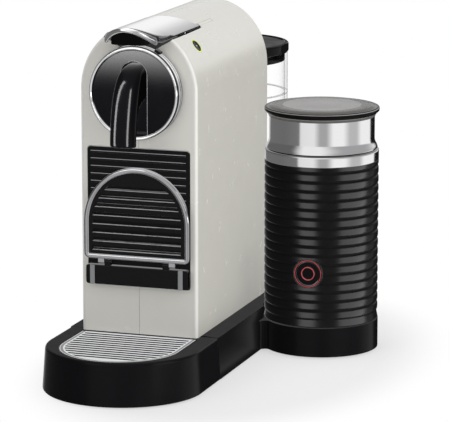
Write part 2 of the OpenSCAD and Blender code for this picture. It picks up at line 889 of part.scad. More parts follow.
module flow_meter() {
    color("#e6e6e6") machine() translate([meter_x, meter_y, base_top + frame_t]) {
        cylinder(r = meter_r, h = meter_h);
        translate([0, 0, meter_h]) cylinder(r = 3.5, h = meter_stub_h);
    }
}

hose_r = 3;

module hose_bend(r) {
    rotate_extrude(angle = 90) translate([r, 0]) circle(r = hose_r);
}

hose_turn = 12;

// from the pump up to the heater's shelf, and from the flow meter round to the pump
module water_hoses() {
    pump_top = pump_z + pump_len + pump_stub_h;
    meter_top = base_top + frame_t + meter_h + meter_stub_h;
    bend_z = meter_top + 20;
    color("#dfe3e6") machine() {
        translate([pump_x, pump_y, pump_top]) cylinder(r = hose_r, h = deck_z - pump_top);
        translate([meter_x, meter_y, meter_top]) cylinder(r = hose_r, h = bend_z - meter_top);
        translate([meter_x + hose_turn, meter_y, bend_z]) rotate([90, 0, 180]) hose_bend(hose_turn);
        rod_x(meter_x + hose_turn, pump_x - pump_r - fit, meter_y, bend_z + hose_turn, hose_r);
    }
}

board_x = -frame_half_w + frame_t;
board_t = 1.6;
board_z = deck_z - 17;
board_h = 80;
relay_h = 8;
relay_w = 20;

module control_board() {
    color("#1f6b3a") machine() {
        box(board_x, board_x + board_t, wall_y + 8, frame_back_y - 9, board_z - board_h, board_z);
        box(board_x + board_t, board_x + board_t + relay_h, wall_y + 16, wall_y + 16 + relay_w,
            board_z - 14 - relay_w, board_z - 14);
    }
}

valve_seat_r = valve_r + 5;
valve_seat_h = 12;
valve_depth = 7;

module valve_seat() {
    color("#2c2e31") machine() translate([0, tank_y, 0]) difference() {
        translate([0, 0, base_top - valve_seat_h]) cylinder(r = valve_seat_r, h = valve_seat_h - slip);
        translate([0, 0, base_top - valve_depth - fit]) cylinder(r = valve_r + slip, h = valve_depth + over);
    }
}

// ---- brew buttons ----

module brew_button() {
    at_button() {
        translate([0, 0, -4]) cylinder(r = button_r, h = 4.2);
    }
}

module button_ring() {
    at_button() difference() {
        translate([0, 0, -3]) cylinder(r = button_ring_r, h = 3);
        translate([0, 0, -3 - over]) cylinder(r = button_r + fit, h = 3 + 2 * over);
    }
}

module brew_button_right() {
    color("#101010") machine() brew_button();
}

module brew_button_left() {
    color("#101010") machine() mirror([1, 0, 0]) brew_button();
}

module button_ring_right() {
    color("#cfe07a") machine() button_ring();
}

module button_ring_left() {
    color("#cfe07a") machine() mirror([1, 0, 0]) button_ring();
}

// ---- capsule container ----

panel_t = 3;
panel_front_y = -0.6;
rib_out = 0.9;
rib_h = 1.2;
rib_count = floor((panel_top_z - support_hinge_z - 8) / rib_pitch);

module container_panel() {
    color("#0e0f10") machine() {
        box(-panel_half_w, panel_half_w, panel_front_y, panel_front_y + panel_t, panel_low_z, panel_top_z);
        for (i = [0:rib_count - 1])
            box(-panel_half_w + 2.8, panel_half_w - 2.8, panel_front_y - rib_out, panel_front_y,
                panel_top_z - 4 - i * rib_pitch - rib_h / 2, panel_top_z - 4 - i * rib_pitch + rib_h / 2);
    }
}

bin_top_z = panel_top_z - 1;

module capsule_container() {
    y0 = panel_front_y + panel_t;
    color("#1a1b1d") machine() difference() {
        box(-bin_half_w, bin_half_w, y0, bin_len, bin_low_z, bin_top_z);
        box(-bin_half_w + bin_wall, bin_half_w - bin_wall, y0 + bin_wall, bin_len - bin_wall,
            bin_low_z + bin_wall, bin_top_z + over);
    }
}

box_out = 6.5;
box_wall = 2;
box_low_z = panel_low_z + 1.4;
box_top_z = support_hinge_z - support_t / 2 - slip;
hinge_y = panel_front_y - rib_out - slip - support_t / 2;
knuckle_x = 27;
knuckle_w = 5;
knuckle_r = 1.9;
support_pin_r = 0.9;

module gloss_box() {
    y0 = -box_out;
    lug_x0 = knuckle_x - knuckle_w - fit;
    color("#08080a") machine() {
        difference() {
            box(-panel_half_w, panel_half_w, y0, panel_front_y, box_low_z, box_top_z);
            box(-panel_half_w + box_wall, panel_half_w - box_wall, y0 + box_wall, panel_front_y + over,
                box_low_z + box_wall, box_top_z - box_wall);
        }
        // lugs that carry the cup support's pins
        both_sides() difference() {
            union() {
                box(lug_x0, lug_x0 + knuckle_w, hinge_y - knuckle_r, hinge_y + knuckle_r,
                    box_top_z, support_hinge_z);
                rod_x(lug_x0, lug_x0 + knuckle_w, hinge_y, support_hinge_z, knuckle_r);
            }
            rod_x(lug_x0 - over, lug_x0 + knuckle_w + over, hinge_y, support_hinge_z, support_pin_r);
        }
    }
}

bracket_x = 34.8;
bracket_w = 3.7;

module support_bracket() {
    color("#8a8c8f") machine() both_sides()
        box(bracket_x, bracket_x + bracket_w, -box_out - 1, -box_out, box_low_z, box_top_z);
}

module support_pins() {
    color("#9a9da1") machine() both_sides()
        rod_x(knuckle_x - knuckle_w - fit, knuckle_x + knuckle_w, hinge_y, support_hinge_z, support_pin_r);
}

// ---- cup support ----

support_spring_z = support_top_z - support_rise;
support_low_z = support_hinge_z + knuckle_r + slip;
support_back_y = hinge_y + support_t / 2;

module support_outline(inset) {
    w = support_half_w - inset;
    rise = support_rise - inset;
    polygon(concat([[w, support_low_z + inset]],
        [for (i = [0:arch_steps]) let (a = 180 * i / arch_steps) [w * cos(a), support_spring_z + rise * sin(a)]],
        [[-w, support_low_z + inset]]));
}

module cup_support_rim() {
    y0 = support_back_y - support_t;
    color("#c4c6c9") machine() difference() {
        union() {
            along_y(y0, support_back_y) difference() {
                support_outline(0);
                support_outline(support_rim);
            }
            both_sides() {
                box(knuckle_x, knuckle_x + knuckle_w, y0, support_back_y,
                    support_hinge_z, support_low_z + support_rim);
                rod_x(knuckle_x, knuckle_x + knuckle_w, hinge_y, support_hinge_z, knuckle_r);
            }
        }
        both_sides()
            rod_x(knuckle_x - over, knuckle_x + knuckle_w + over, hinge_y, support_hinge_z, support_pin_r + run);
    }
}

support_bars = floor((support_top_z - support_low_z - 2 * support_rim - 6) / support_pitch);

module cup_support_grid() {
    y0 = support_back_y - support_t + 1;
    color("#1a1b1d") machine() along_y(y0, support_back_y - 1) difference() {
        support_outline(support_rim);
        for (i = [0:support_bars - 1])
            translate([-support_half_w, support_low_z + support_rim + 3 + i * support_pitch]) intersection() {
                translate([support_rim + 3, 0])
                    square([2 * (support_half_w - support_rim - 3), support_pitch - support_bar]);
                translate([support_half_w, -support_low_z - support_rim - 3 - i * support_pitch])
                    support_outline(support_rim + 3);
            }
    }
}

// ---- drip tray ----

tray_low = 1;
tray_top = base_top;
tray_back_y = tray_seam_y - fit;

// the tray's outline: straight sides and an elliptical front
module tray_outline(side, front, back) {
    polygon(concat([[side, back]],
        [for (i = [0:48]) let (a = -180 * i / 48) [side * cos(a), tray_nose_y + front * sin(a)]],
        [[-side, back]]));
}

module grid_outline(grow) {
    w = grid_half_w + grow;
    polygon(concat([[w, -1.2 + grow]],
        [for (i = [0:48]) let (a = -180 * i / 48) [w * cos(a), grid_nose_y + w * sin(a)]],
        [[-w, -1.2 + grow]]));
}

module tray_layer(z, side_in, front_in) {
    translate([0, 0, z]) linear_extrude(0.2)
        tray_outline(base_half_w - side_in, base_half_w - front_in, tray_back_y);
}

module drip_tray() {
    side = base_half_w - base_lean - tray_wall - 1.4;
    front = base_half_w - tray_lean - tray_wall - 1.4;
    color("#0f1012") machine() {
        difference() {
            hull() {
                tray_layer(tray_low, 0.8, 0.8);
                tray_layer(tray_low + 1.2, 0, 0);
                tray_layer(tray_top - 1.8, base_lean, tray_lean - 0.4);
                tray_layer(tray_top - 0.2, base_lean + 1.2, tray_lean + 1);
            }
            translate([0, 0, tray_low + tray_wall]) linear_extrude(tray_top - grid_t - tray_wall - 3.2 - tray_low)
                tray_outline(side, front, tray_back_y - tray_wall);
            translate([0, 0, tray_low + tray_wall]) linear_extrude(tray_top) grid_outline(-3);
            translate([0, 0, tray_top - grid_t]) linear_extrude(grid_t + over) grid_outline(slip);
        }
        both_sides() box(tray_tongue_x - tray_tongue_w / 2, tray_tongue_x + tray_tongue_w / 2,
            tray_back_y, tray_back_y + tray_tongue_len, tray_tongue_z[0], tray_tongue_z[1]);
    }
}

grid_rim = 4;
grid_bars = floor((grid_half_w - grid_nose_y - 2 * grid_rim) / grid_pitch);

module drip_grid() {
    color("#b9bcbf") machine() translate([0, 0, tray_top - grid_t + stand]) linear_extrude(grid_t - stand)
        difference() {
            grid_outline(0);
            intersection() {
                grid_outline(-grid_rim);
                for (i = [0:grid_bars - 1])
                    translate([-grid_half_w, -1.2 - grid_rim - (i + 1) * grid_pitch + grid_bar])
                        square([2 * grid_half_w, grid_pitch - grid_bar]);
            }
        }
}

// ---- water tank ----

lid_overhang = 0.8;
tank_flat_y = body_len + lid_overhang + slip;
tank_low = base_top + stand;
tank_floor = 3;
lid_rim = 2.4;

module tank_plan(inset) {
    intersection() {
        circle(r = tank_r - inset);
        translate([-tank_r, tank_flat_y - tank_y + inset]) square(2 * tank_r);
    }
}

module water_tank() {
    color([0.8, 0.85, 0.9, 0.4]) machine() translate([0, tank_y, 0]) difference() {
        translate([0, 0, tank_low]) linear_extrude(tank_top_z - tank_low) tank_plan(0);
        translate([0, 0, tank_low + tank_floor]) linear_extrude(tank_top_z) tank_plan(tank_wall);
        translate([0, 0, tank_low - over]) cylinder(r = valve_r, h = tank_floor + 2 * over);
    }
}

module tank_valve() {
    color("#303234") machine() translate([0, tank_y, 0]) {
        translate([0, 0, tank_low - valve_depth]) cylinder(r = valve_r, h = valve_depth + tank_floor);
        translate([0, 0, tank_low + tank_floor]) cylinder(r = valve_r + 3, h = 2);
        translate([0, 0, tank_low + tank_floor + 2]) cylinder(r = valve_r - 3, h = 6);
    }
}

module tank_lid() {
    color("#141517") machine() translate([0, tank_y, 0]) difference() {
        union() {
            translate([0, 0, tank_top_z + stand]) linear_extrude(lid_band_h) tank_plan(-lid_overhang);
            translate([0, 0, tank_top_z - lid_plug_h]) linear_extrude(lid_plug_h + stand) tank_plan(tank_wall + slip);
        }
        translate([0, 0, tank_top_z - lid_plug_h - over]) linear_extrude(lid_plug_h + over)
            tank_plan(tank_wall + slip + 2);
        translate([0, 0, tank_top_z + lid_band_h - lid_rim]) linear_extrude(lid_band_h) tank_plan(lid_rim);
    }
}

module lid_insert() {
    color("#9a9c9e") machine() translate([0, tank_y, tank_top_z + lid_band_h - lid_rim])
        linear_extrude(lid_rim - 1) tank_plan(lid_rim + run);
}

// ---- frother ----

sleeve_low = puck_top + 0.5;
sleeve_top = sleeve_low + 3.3 + sleeve_ribs * sleeve_pitch;
jug_top = sleeve_top + collar_h;
button_bore_r = jug_button_r + 1.6;

// stands at the round button's place on the sleeve, with Z pointing out of it
module at_jug_button() {
    rotate([0, 0, jug_button_turn]) translate([0, 0, jug_button_z]) rotate([0, 90, 0]) children();
}

module jug_sleeve() {
    color("#17181a") frother() difference() {
        union() {
            rotate_extrude() polygon(concat(
                [[sleeve_r - sleeve_wall, sleeve_low], [sleeve_r - 0.8, sleeve_low], [sleeve_r, sleeve_low + 1]],
                [for (i = [0:sleeve_ribs - 1], s = [[0.82, 0], [0.95, 1], [1.05, 1], [1.18, 0]])
                    [sleeve_r - rib_depth * s[1], sleeve_low + 2.4 + (i + s[0] - 0.5) * sleeve_pitch]],
                [[sleeve_r, sleeve_top], [sleeve_r - sleeve_wall, sleeve_top]]));
            at_jug_button() translate([0, 0, sleeve_r - sleeve_wall - 1])
                cylinder(r = button_bore_r + 1.4, h = sleeve_wall + 1);
        }
        at_jug_button() cylinder(r = button_bore_r, h = sleeve_r + 5);
    }
}

socket_r = hub_r + slip;
jug_base_h = 11;
jug_base_top = sleeve_low + jug_base_h;

module jug_base() {
    color("#1c1d1f") frother() difference() {
        translate([0, 0, puck_top + stand]) cylinder(r = sleeve_r - sleeve_wall, h = jug_base_top - puck_top - stand);
        translate([0, 0, puck_top]) cylinder(r = socket_r, h = hub_top - puck_top + slip);
        translate([0, 0, puck_top]) cylinder(r = hub_pin_r + slip, h = hub_top - puck_top + hub_pin_h + slip);
    }
}

post_r = 2.4;

// the drawn steel jug: floor, wall, shoulder and the collar that shows above the sleeve
module steel_jug() {
    w = jug_wall;
    color("#c9cbcd") frother() rotate_extrude() polygon([
        [0, jug_floor_z], [jug_r - 3, jug_floor_z], [jug_r, jug_floor_z + 3], [jug_r, sleeve_top + fit],
        [sleeve_r, sleeve_top + fit], [sleeve_r, sleeve_top + 7.4], [sleeve_r - 0.5, sleeve_top + 10],
        [neck_r + 1, sleeve_top + 12.6], [neck_r, sleeve_top + 15.4], [neck_r, jug_top - 5],
        [neck_r + 0.7, jug_top - 3], [jug_lip_r - 0.3, jug_top - 0.6], [jug_lip_r, jug_top],
        [jug_lip_r - w, jug_top], [neck_r + 0.7 - w, jug_top - 2.4], [neck_r - w, jug_top - 5],
        [neck_r - w, sleeve_top + 15.4], [jug_r - w, sleeve_top + 8],
        [jug_r - w, jug_floor_z + 3 + w / 2], [jug_r - 3 - w / 2, jug_floor_z + w],
        [post_r, jug_floor_z + w], [post_r, jug_floor_z + 7], [0, jug_floor_z + 7]
    ]);
}

motor_r = 18;
motor_top = jug_floor_z - 12;
shaft_r = 1.5;
magnet_r = 14;
magnet_t = 5;

module jug_motor() {
    color("#7b7f84") frother() {
        translate([0, 0, jug_base_top]) cylinder(r = motor_r, h = motor_top - jug_base_top);
        translate([0, 0, motor_top]) cylinder(r = shaft_r, h = 9);
    }
}

module drive_magnet() {
    color("#4a4d50") frother() difference() {
        translate([0, 0, motor_top + 3]) cylinder(r = magnet_r, h = magnet_t);
        translate([0, 0, motor_top]) cylinder(r = shaft_r + run, h = 3 + magnet_t + over);
    }
}

whisk_z = jug_floor_z + jug_wall + 3;

module whisk() {
    color("#c2c4c7") frother() {
        translate([0, 0, whisk_z]) rotate_extrude() translate([whisk_r, 0]) circle(r = 1.3, $fn = 24);
        difference() {
            union() {
                translate([0, 0, whisk_z - 1.6]) cylinder(r = 4.4, h = 3.2);
                for (a = [0:3]) rotate([0, 0, 90 * a]) translate([3.4, -0.8, whisk_z - 0.8])
                    cube([whisk_r - 3.4, 1.6, 1.6]);
            }
            translate([0, 0, whisk_z - 3]) cylinder(r = post_r + run, h = 6);
        }
    }
}

button_face = sleeve_r + 0.2;

module jug_button() {
    color("#131416") frother() at_jug_button() difference() {
        translate([0, 0, button_face - 3]) cylinder(r = jug_button_r, h = 3);
        translate([0, 0, button_face - 0.8]) difference() {
            cylinder(r = 5.8, h = 2);
            translate([0, 0, -over]) cylinder(r = 4.6, h = 4);
        }
    }
}

module jug_button_light() {
    color("#d2504a") frother() at_jug_button() translate([0, 0, button_face - 0.8]) difference() {
        cylinder(r = 5.8, h = 0.8);
        translate([0, 0, -over]) cylinder(r = 4.6, h = 4);
    }
}

module jug_button_bezel() {
    color("#d2504a") frother() at_jug_button() translate([0, 0, sleeve_r - sleeve_wall]) difference() {
        cylinder(r = button_bore_r, h = sleeve_wall);
        translate([0, 0, -over]) cylinder(r = jug_button_r + fit, h = sleeve_wall + 2 * over);
    }
}

lid_low = jug_top + stand;

lid_plug_in = 2;
lid_plug_depth = 7;
lid_plug_wall = 1.4;
lid_web_rise = 1.2;
lid_rim_t = 0.8;
// the lid's upper edge: a bevel, then a slope up to its flat top
lid_bevel_in = 2;
lid_bevel_rise = 2.2;
lid_slope_in = 6;
lid_roof_t = 3;
lid_plug_r = neck_r - jug_wall - lid_plug_in;
seal_low_z = lid_low - lid_plug_depth;

module jug_lid() {
    r = jug_lip_r - jug_wall;
    color([0.25, 0.25, 0.27, 0.5]) frother() rotate_extrude() polygon([
        [0, lid_low + lid_web_rise], [lid_plug_r - lid_plug_wall, lid_low + lid_web_rise],
        [lid_plug_r - lid_plug_wall, seal_low_z], [lid_plug_r, seal_low_z],
        [lid_plug_r, lid_low], [r, lid_low], [r, lid_low + lid_rim_t], [r - lid_bevel_in, lid_low + lid_bevel_rise],
        [r - lid_slope_in, lid_low + lid_roof_t], [0, lid_low + lid_roof_t]
    ]);
}

module lid_seal() {
    color("#151515") frother() tube(neck_r - jug_wall - fit, lid_plug_r, seal_low_z, seal_low_z + 3);
}

base_housing();
base_plate();
rubber_feet();
base_screws();
cord_gland();
contact_hub();
side_shell_left();
side_shell_right();
rear_cover();
inner_frame();
frame_screws();
front_ring();
front_disc();
spout();
spout_latch();
capsule_chute();
pressure_head();
lever_pins();
water_heater();
heater_bracket();
pump();
pump_mounts();
flow_meter();
water_hoses();
control_board();
valve_seat();
brew_button_left();
brew_button_right();
button_ring_left();
button_ring_right();
lever_hood();
lever_lip();
lever_liner();
lever_arms();
capsule_cage();
container_panel();
capsule_container();
gloss_box();
support_bracket();
support_pins();
cup_support_rim();
cup_support_grid();
drip_tray();
drip_grid();
water_tank();
tank_valve();
tank_lid();
lid_insert();
jug_sleeve();
jug_base();
steel_jug();
jug_motor();
drive_magnet();
whisk();
jug_button();
jug_button_light();
jug_button_bezel();
jug_lid();
lid_seal();
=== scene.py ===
import json
import math

import bmesh
import bpy
from mathutils import Matrix, Vector

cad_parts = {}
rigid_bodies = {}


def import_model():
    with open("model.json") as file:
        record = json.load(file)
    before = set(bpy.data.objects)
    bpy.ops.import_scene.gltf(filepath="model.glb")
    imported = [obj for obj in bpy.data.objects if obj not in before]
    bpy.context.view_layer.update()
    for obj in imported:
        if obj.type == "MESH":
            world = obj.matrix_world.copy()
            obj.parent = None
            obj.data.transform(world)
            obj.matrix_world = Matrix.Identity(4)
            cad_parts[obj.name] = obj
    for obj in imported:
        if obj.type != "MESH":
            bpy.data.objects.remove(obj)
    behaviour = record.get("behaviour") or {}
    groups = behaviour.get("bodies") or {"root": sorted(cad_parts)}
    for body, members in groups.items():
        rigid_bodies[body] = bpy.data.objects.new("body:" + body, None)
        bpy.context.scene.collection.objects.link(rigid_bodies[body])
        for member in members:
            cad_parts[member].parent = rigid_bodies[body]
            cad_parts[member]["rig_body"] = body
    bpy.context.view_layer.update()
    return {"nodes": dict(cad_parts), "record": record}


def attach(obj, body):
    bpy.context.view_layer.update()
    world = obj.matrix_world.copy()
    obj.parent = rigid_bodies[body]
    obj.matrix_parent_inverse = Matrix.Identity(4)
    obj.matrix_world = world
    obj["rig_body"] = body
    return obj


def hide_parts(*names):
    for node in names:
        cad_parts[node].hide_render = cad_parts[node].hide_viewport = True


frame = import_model()

MM = 0.001
# Where the machine's centre line and front face, and the frother's axis, stand over the origin, in millimetres.
MACHINE = Vector((-43.9, -85.0, 0.0))
FROTHER = MACHINE + Vector((104.8, 147.3, 0.0))
SLOT_OF = {entry["node"]: entry["material_slot"] for entry in frame["record"]["subparts"]}


# ---------------------------------------------------------------- finishes

class Wire:
    """A socket that takes part in Python expressions; each operator adds a Math node."""

    def __init__(self, finish, socket):
        self.finish, self.socket = finish, socket

    def _math(self, kind, *values, clamp=False):
        return self.finish.node("ShaderNodeMath", {"operation": kind, "use_clamp": clamp}, *values)

    def __add__(self, other): return self._math("ADD", self, other)
    def __sub__(self, other): return self._math("SUBTRACT", self, other)
    def __rsub__(self, other): return self._math("SUBTRACT", other, self)
    def __mul__(self, other): return self._math("MULTIPLY", self, other)
    def __truediv__(self, other): return self._math("DIVIDE", self, other)
    def __pow__(self, other): return self._math("POWER", self, other)
    __radd__ = __add__
    __rmul__ = __mul__

    def clamp(self): return self._math("ADD", self, 0.0, clamp=True)
    def at_most(self, limit): return self._math("MINIMUM", self, limit)
    def angle_from(self, other): return self._math("ARCTAN2", self, other)

    def between(self, low, high):
        """0 up to low, 1 from high, smooth between them."""
        smooth = {"interpolation_type": "SMOOTHSTEP"}
        return self.finish.node("ShaderNodeMapRange", smooth, self, low, high, 0.0, 1.0)

    def band(self, low, high, soft):
        """1 between low and high, 0 outside, with soft edges."""
        return self.between(low - soft, low + soft) * (1.0 - self.between(high - soft, high + soft))


class Finish:
    """A node material with one main shader."""

    def __init__(self, name, colour, **constants):
        self.material = bpy.data.materials.new(name)
        self.material.use_nodes = True
        self.tree = self.material.node_tree
        self.shader = self.tree.nodes["Principled BSDF"]
        self.hold(Base_Color=(*colour, 1.0), **constants)
        self.place = self.node("ShaderNodeTexCoord", {}, output="Object")

    def hold(self, **constants):
        """Sets the sockets that are the same all over the surface."""
        for socket, value in constants.items():
            self.shader.inputs[socket.replace("_", " ")].default_value = value
        return self

    def node(self, kind, settings, *values, output=0, **named):
        """Adds a node: settings first, then the values or links of its sockets, in order or by name."""
        made = self.tree.nodes.new(kind)
        for key, value in settings.items():
            if key == "stops":
                ramp = made.color_ramp
                while len(ramp.elements) < len(value):
                    ramp.elements.new(0.5)
                for element, (at, shade) in zip(ramp.elements, value):
                    element.position = at
                    element.color = (shade, shade, shade, 1.0)
            else:
                setattr(made, key, value)
        pairs = list(zip(made.inputs, values)) + [(made.inputs[key.replace("_", " ")], value)
                                                  for key, value in named.items()]
        for socket, value in pairs:
            if isinstance(value, Wire):
                self.tree.links.new(value.socket, socket)
            else:
                socket.default_value = value
        return Wire(self, made.outputs[output])

    def stretched(self, *scale):
        """The place on the piece, stretched along X, Y and Z."""
        return self.node("ShaderNodeVectorMath", {"operation": "MULTIPLY"}, self.place, scale)

    def grain(self, scale, detail=2.0, rough=0.5, place=None):
        return self.node("ShaderNodeTexNoise", {}, Vector=place or self.place, Scale=scale, Detail=detail,
                         Roughness=rough)

    def along(self, letter, centre=0.0):
        """One coordinate on the piece, in millimetres from a centre."""
        return self.node("ShaderNodeSeparateXYZ", {}, self.place, output="XYZ".index(letter)) * 1000.0 - centre

    def from_axis(self, centre, turned="Z"):
        """How far a point is from a line along Z or Y through the centre, in millimetres."""
        a = self.along("X", centre[0])
        b = self.along("Y", centre[1]) if turned == "Z" else self.along("Z", centre[2])
        return (a * a + b * b) ** 0.5

    def facing(self, letter):
        """How far the surface faces towards +X, +Y or +Z, from -1 to 1."""
        normal = self.node("ShaderNodeNewGeometry", {}, output="Normal")
        return self.node("ShaderNodeSeparateXYZ", {}, normal, output="XYZ".index(letter))

    def tint(self, mask, under, over):
        """One colour laid over another where the mask is 1."""
        made = self.tree.nodes.new("ShaderNodeMix")
        made.data_type = "RGBA"
        for index, value in ((0, mask), (6, under), (7, over)):
            if isinstance(value, Wire):
                self.tree.links.new(value.socket, made.inputs[index])
            else:
                made.inputs[index].default_value = (*value, 1.0) if index else value
        return Wire(self, made.outputs[2])

    def feed(self, **wires):
        for socket, wire in wires.items():
            self.tree.links.new(wire.socket, self.shader.inputs[socket.replace("_", " ")])
        return self

    def bump(self, height, strength, distance):
        relief = self.node("ShaderNodeBump", {}, Height=height, Strength=strength, Distance=distance)
        return self.feed(Normal=relief)

    def wear(self, low, high, scale=60.0):
        """Roughness that drifts between two values, as handled surfaces do."""
        return self.feed(Roughness=low + (high - low) * self.grain(scale, 4.0, 0.6).between(0.3, 0.7))


def dimmed(colour, share):
    return tuple(channel * share for channel in colour)


def moulded(name, colour, rough, coat=0.0, grain=900.0, depth=0.00002, strength=0.12, uneven=0.1, shine=0.5,
            **constants):
    """Moulded plastic: a faint texture, roughness that drifts, and a tone that isn't quite even."""
    made = Finish(name, colour, Coat_Weight=coat, Coat_Roughness=0.06, Specular_IOR_Level=shine, **constants)
    made.tone = made.tint(made.grain(23.0, 5.0, 0.6).between(0.25, 0.75), dimmed(colour, 1 - uneven), colour)
    made.feed(Base_Color=made.tone)
    made.wear(rough * 0.85, rough * 1.15)
    return made.bump(made.grain(grain, 3.0, 0.6), strength, depth)


def turned_metal(name, colour, rough, strength=0.1):
    """Metal brushed round an axis that stands upright."""
    made = Finish(name, colour, Metallic=1.0)
    rings = made.grain(1.0, 4.0, 0.6, made.stretched(60.0, 60.0, 5200.0))
    made.feed(Base_Color=made.tint(rings.between(0.35, 0.65), dimmed(colour, 0.9), colour))
    fine = made.grain(1.0, 3.0, 0.6, made.stretched(30.0, 30.0, 2200.0))
    made.feed(Roughness=rough * 0.75 + rough * 0.5 * fine)
    return made.bump(rings, strength, 0.00002)


def plated(name, colour, rough, **constants):
    """Plated or polished metal with hair scratches."""
    made = Finish(name, colour, Metallic=1.0, **constants)
    hair = made.grain(1.0, 3.0, 0.7, made.stretched(2600.0, 180.0, 700.0))
    made.feed(Roughness=rough + rough * 0.7 * hair.between(0.45, 0.8))
    made.feed(Base_Color=made.tint(made.grain(90.0, 4.0).between(0.4, 0.7), colour, dimmed(colour, 0.93)))
    return made.bump(hair, 0.03, 0.00001)


cream = moulded("cream_gloss", (0.80, 0.786, 0.72), 0.24, coat=0.3, grain=240.0, strength=0.012, uneven=0.015)
# painted highlight: surfaces turned partly forward, on the rounded front edges, are painted paler
painted_edge_highlight = (-1.0 * cream.facing("Y")).band(0.38, 0.90, 0.12)
cream.feed(Base_Color=cream.tint(painted_edge_highlight, cream.tone, (0.97, 0.965, 0.93)))
lid_dull = moulded("lid_dull", (0.012, 0.012, 0.012), 0.5, shine=0.1)
piano = moulded("piano_black", (0.005, 0.005, 0.006), 0.10, grain=160.0, strength=0.025, shine=0.10)
satin = moulded("satin_black", (0.010, 0.010, 0.011), 0.34, shine=0.2)
gap_black = moulded("gap_black", (0.003, 0.003, 0.003), 0.55, shine=0.04)
inner_dark = moulded("inner_dark", (0.045, 0.047, 0.05), 0.5, strength=0.3)


def matt_on_top(made, side, top):
    """Glossy walls under a surface that handling has dulled."""
    patches = made.grain(60.0, 4.0, 0.6).between(0.3, 0.7)
    return made.feed(Roughness=side + 0.03 * patches + (top - side) * made.facing("Z").between(0.8, 0.97))


deck_black = moulded("deck_black", (0.007, 0.007, 0.008), 0.2, grain=160.0, strength=0.03, IOR=1.14)
matt_on_top(deck_black, 0.20, 0.55)


def with_painted_highlights(name, colour, light, rough):
    """Moulded black with a painted highlight: its upward-facing surfaces, such as the upper edges, are painted
    paler in patches than its faces.
    """
    made = moulded(name, colour, rough, shine=0.08)
    # painted highlight: the mask of upward-facing surfaces, broken into patches
    edge = made.facing("Z").between(0.25, 0.75) * made.grain(60.0, 3.0).between(0.2, 0.5)
    return made.feed(Base_Color=made.tint(edge, colour, light))


rib_black = with_painted_highlights("rib_black", (0.006, 0.006, 0.007), (0.55, 0.55, 0.56), 0.3)
bar_black = with_painted_highlights("bar_black", (0.008, 0.008, 0.009), (0.62, 0.62, 0.63), 0.3)
rubber = moulded("rubber_black", (0.014, 0.014, 0.014), 0.75, grain=1600.0, strength=0.4)
grey_satin = moulded("grey_satin", (0.30, 0.305, 0.31), 0.34)
white_plastic = moulded("white_plastic", (0.72, 0.72, 0.70), 0.4)
lever_silver = plated("lever_silver", (0.90, 0.90, 0.905), 0.12)
# painted shade: the lip's right end is painted dark grey, standing in for a dimmer reflection there
painted_shade_right_end = lever_silver.along("X", MACHINE.x).between(2.0, 20.0)
lever_silver.feed(Base_Color=lever_silver.tint(painted_shade_right_end, (0.92, 0.92, 0.925), (0.30, 0.30, 0.31)))
steel_plain = plated("steel_plain", (0.56, 0.57, 0.58), 0.26)
brass = plated("brass", (0.70, 0.50, 0.23), 0.24)
collar_steel = turned_metal("collar_steel", (0.84, 0.84, 0.84), 0.12, 0.05)
# painted reflection: a dark band is painted round the collar's shoulder groove, standing in for the dark it
# reflects there
painted_dark_band = collar_steel.along("Z").band(165.5, 167.3, 0.12)
collar_steel.feed(Base_Color=collar_steel.tint(painted_dark_band, (0.84, 0.84, 0.84), (0.05, 0.048, 0.047)))
motor_steel = turned_metal("motor_steel", (0.50, 0.51, 0.53), 0.34)

grid_steel = Finish("grid_steel", (0.60, 0.61, 0.62), Metallic=1.0)
strokes = grid_steel.grain(1.0, 4.0, 0.6, grid_steel.stretched(60.0, 3000.0, 3000.0))
grid_steel.feed(Roughness=0.20 + 0.18 * strokes)
brushed = grid_steel.tint(strokes.between(0.3, 0.7), (0.66, 0.67, 0.68), (0.80, 0.81, 0.82))
# a darker line runs inside the round edge
forward = grid_steel.along("Y", MACHINE.y - 42.0).at_most(0.0)
sideways = grid_steel.along("X", MACHINE.x)
rimward = (sideways * sideways + forward * forward) ** 0.5
brushed = grid_steel.tint(rimward.band(44.8, 46.9, 0.15), brushed, (0.14, 0.14, 0.145))
# painted shade: the grid's sides and undersides are painted near black, only its upward faces keep the brushed
# steel
painted_shade_off_tops = grid_steel.facing("Z").between(0.35, 0.8)
grid_steel.feed(Base_Color=grid_steel.tint(painted_shade_off_tops, (0.03, 0.03, 0.03), brushed))
grid_steel.bump(strokes, 0.12, 0.00002)

heater_cast = Finish("heater_cast", (0.55, 0.56, 0.57), Metallic=0.85)
pits = heater_cast.grain(700.0, 5.0, 0.7)
heater_cast.feed(Roughness=0.5 + 0.2 * pits)
heater_cast.feed(Base_Color=heater_cast.tint(pits.between(0.35, 0.65), (0.36, 0.37, 0.38), (0.58, 0.59, 0.60)))
heater_cast.bump(pits, 0.5, 0.0002)

hose_milky = moulded("hose_milky", (0.74, 0.75, 0.72), 0.35, Subsurface_Weight=0.2, Subsurface_Scale=0.003)

board_green = Finish("board_green", (0.02, 0.12, 0.05))
cells = board_green.node("ShaderNodeTexVoronoi", {"distance": "MANHATTAN"}, Vector=board_green.place,
                         Scale=260.0)
tracks = cells.between(0.35, 0.4)
board_green.feed(Base_Color=board_green.tint(tracks, (0.02, 0.12, 0.05), (0.05, 0.22, 0.09)))
board_green.wear(0.3, 0.45)
board_green.bump(tracks, 0.2, 0.0001)


def lamp(name, colour, power):
    """A lit ring whose light isn't quite even along it."""
    made = Finish(name, colour, Emission_Strength=power, Coat_Weight=0.4)
    made.wear(0.25, 0.4)
    shade = made.grain(300.0, 2.0).between(0.2, 0.8)
    made.feed(Emission_Color=made.tint(shade, dimmed(colour, 0.75), colour))
    made.feed(Base_Color=made.tint(shade, dimmed(colour, 0.6), colour))
    return made.bump(made.grain(500.0), 0.1, 0.00002)


glow_green = lamp("glow_green", (0.52, 0.62, 0.06), 0.8)
glow_red = lamp("glow_red", (0.50, 0.035, 0.045), 0.36)
ready_dot = lamp("ready_dot", (0.62, 0.66, 0.40), 0.7)


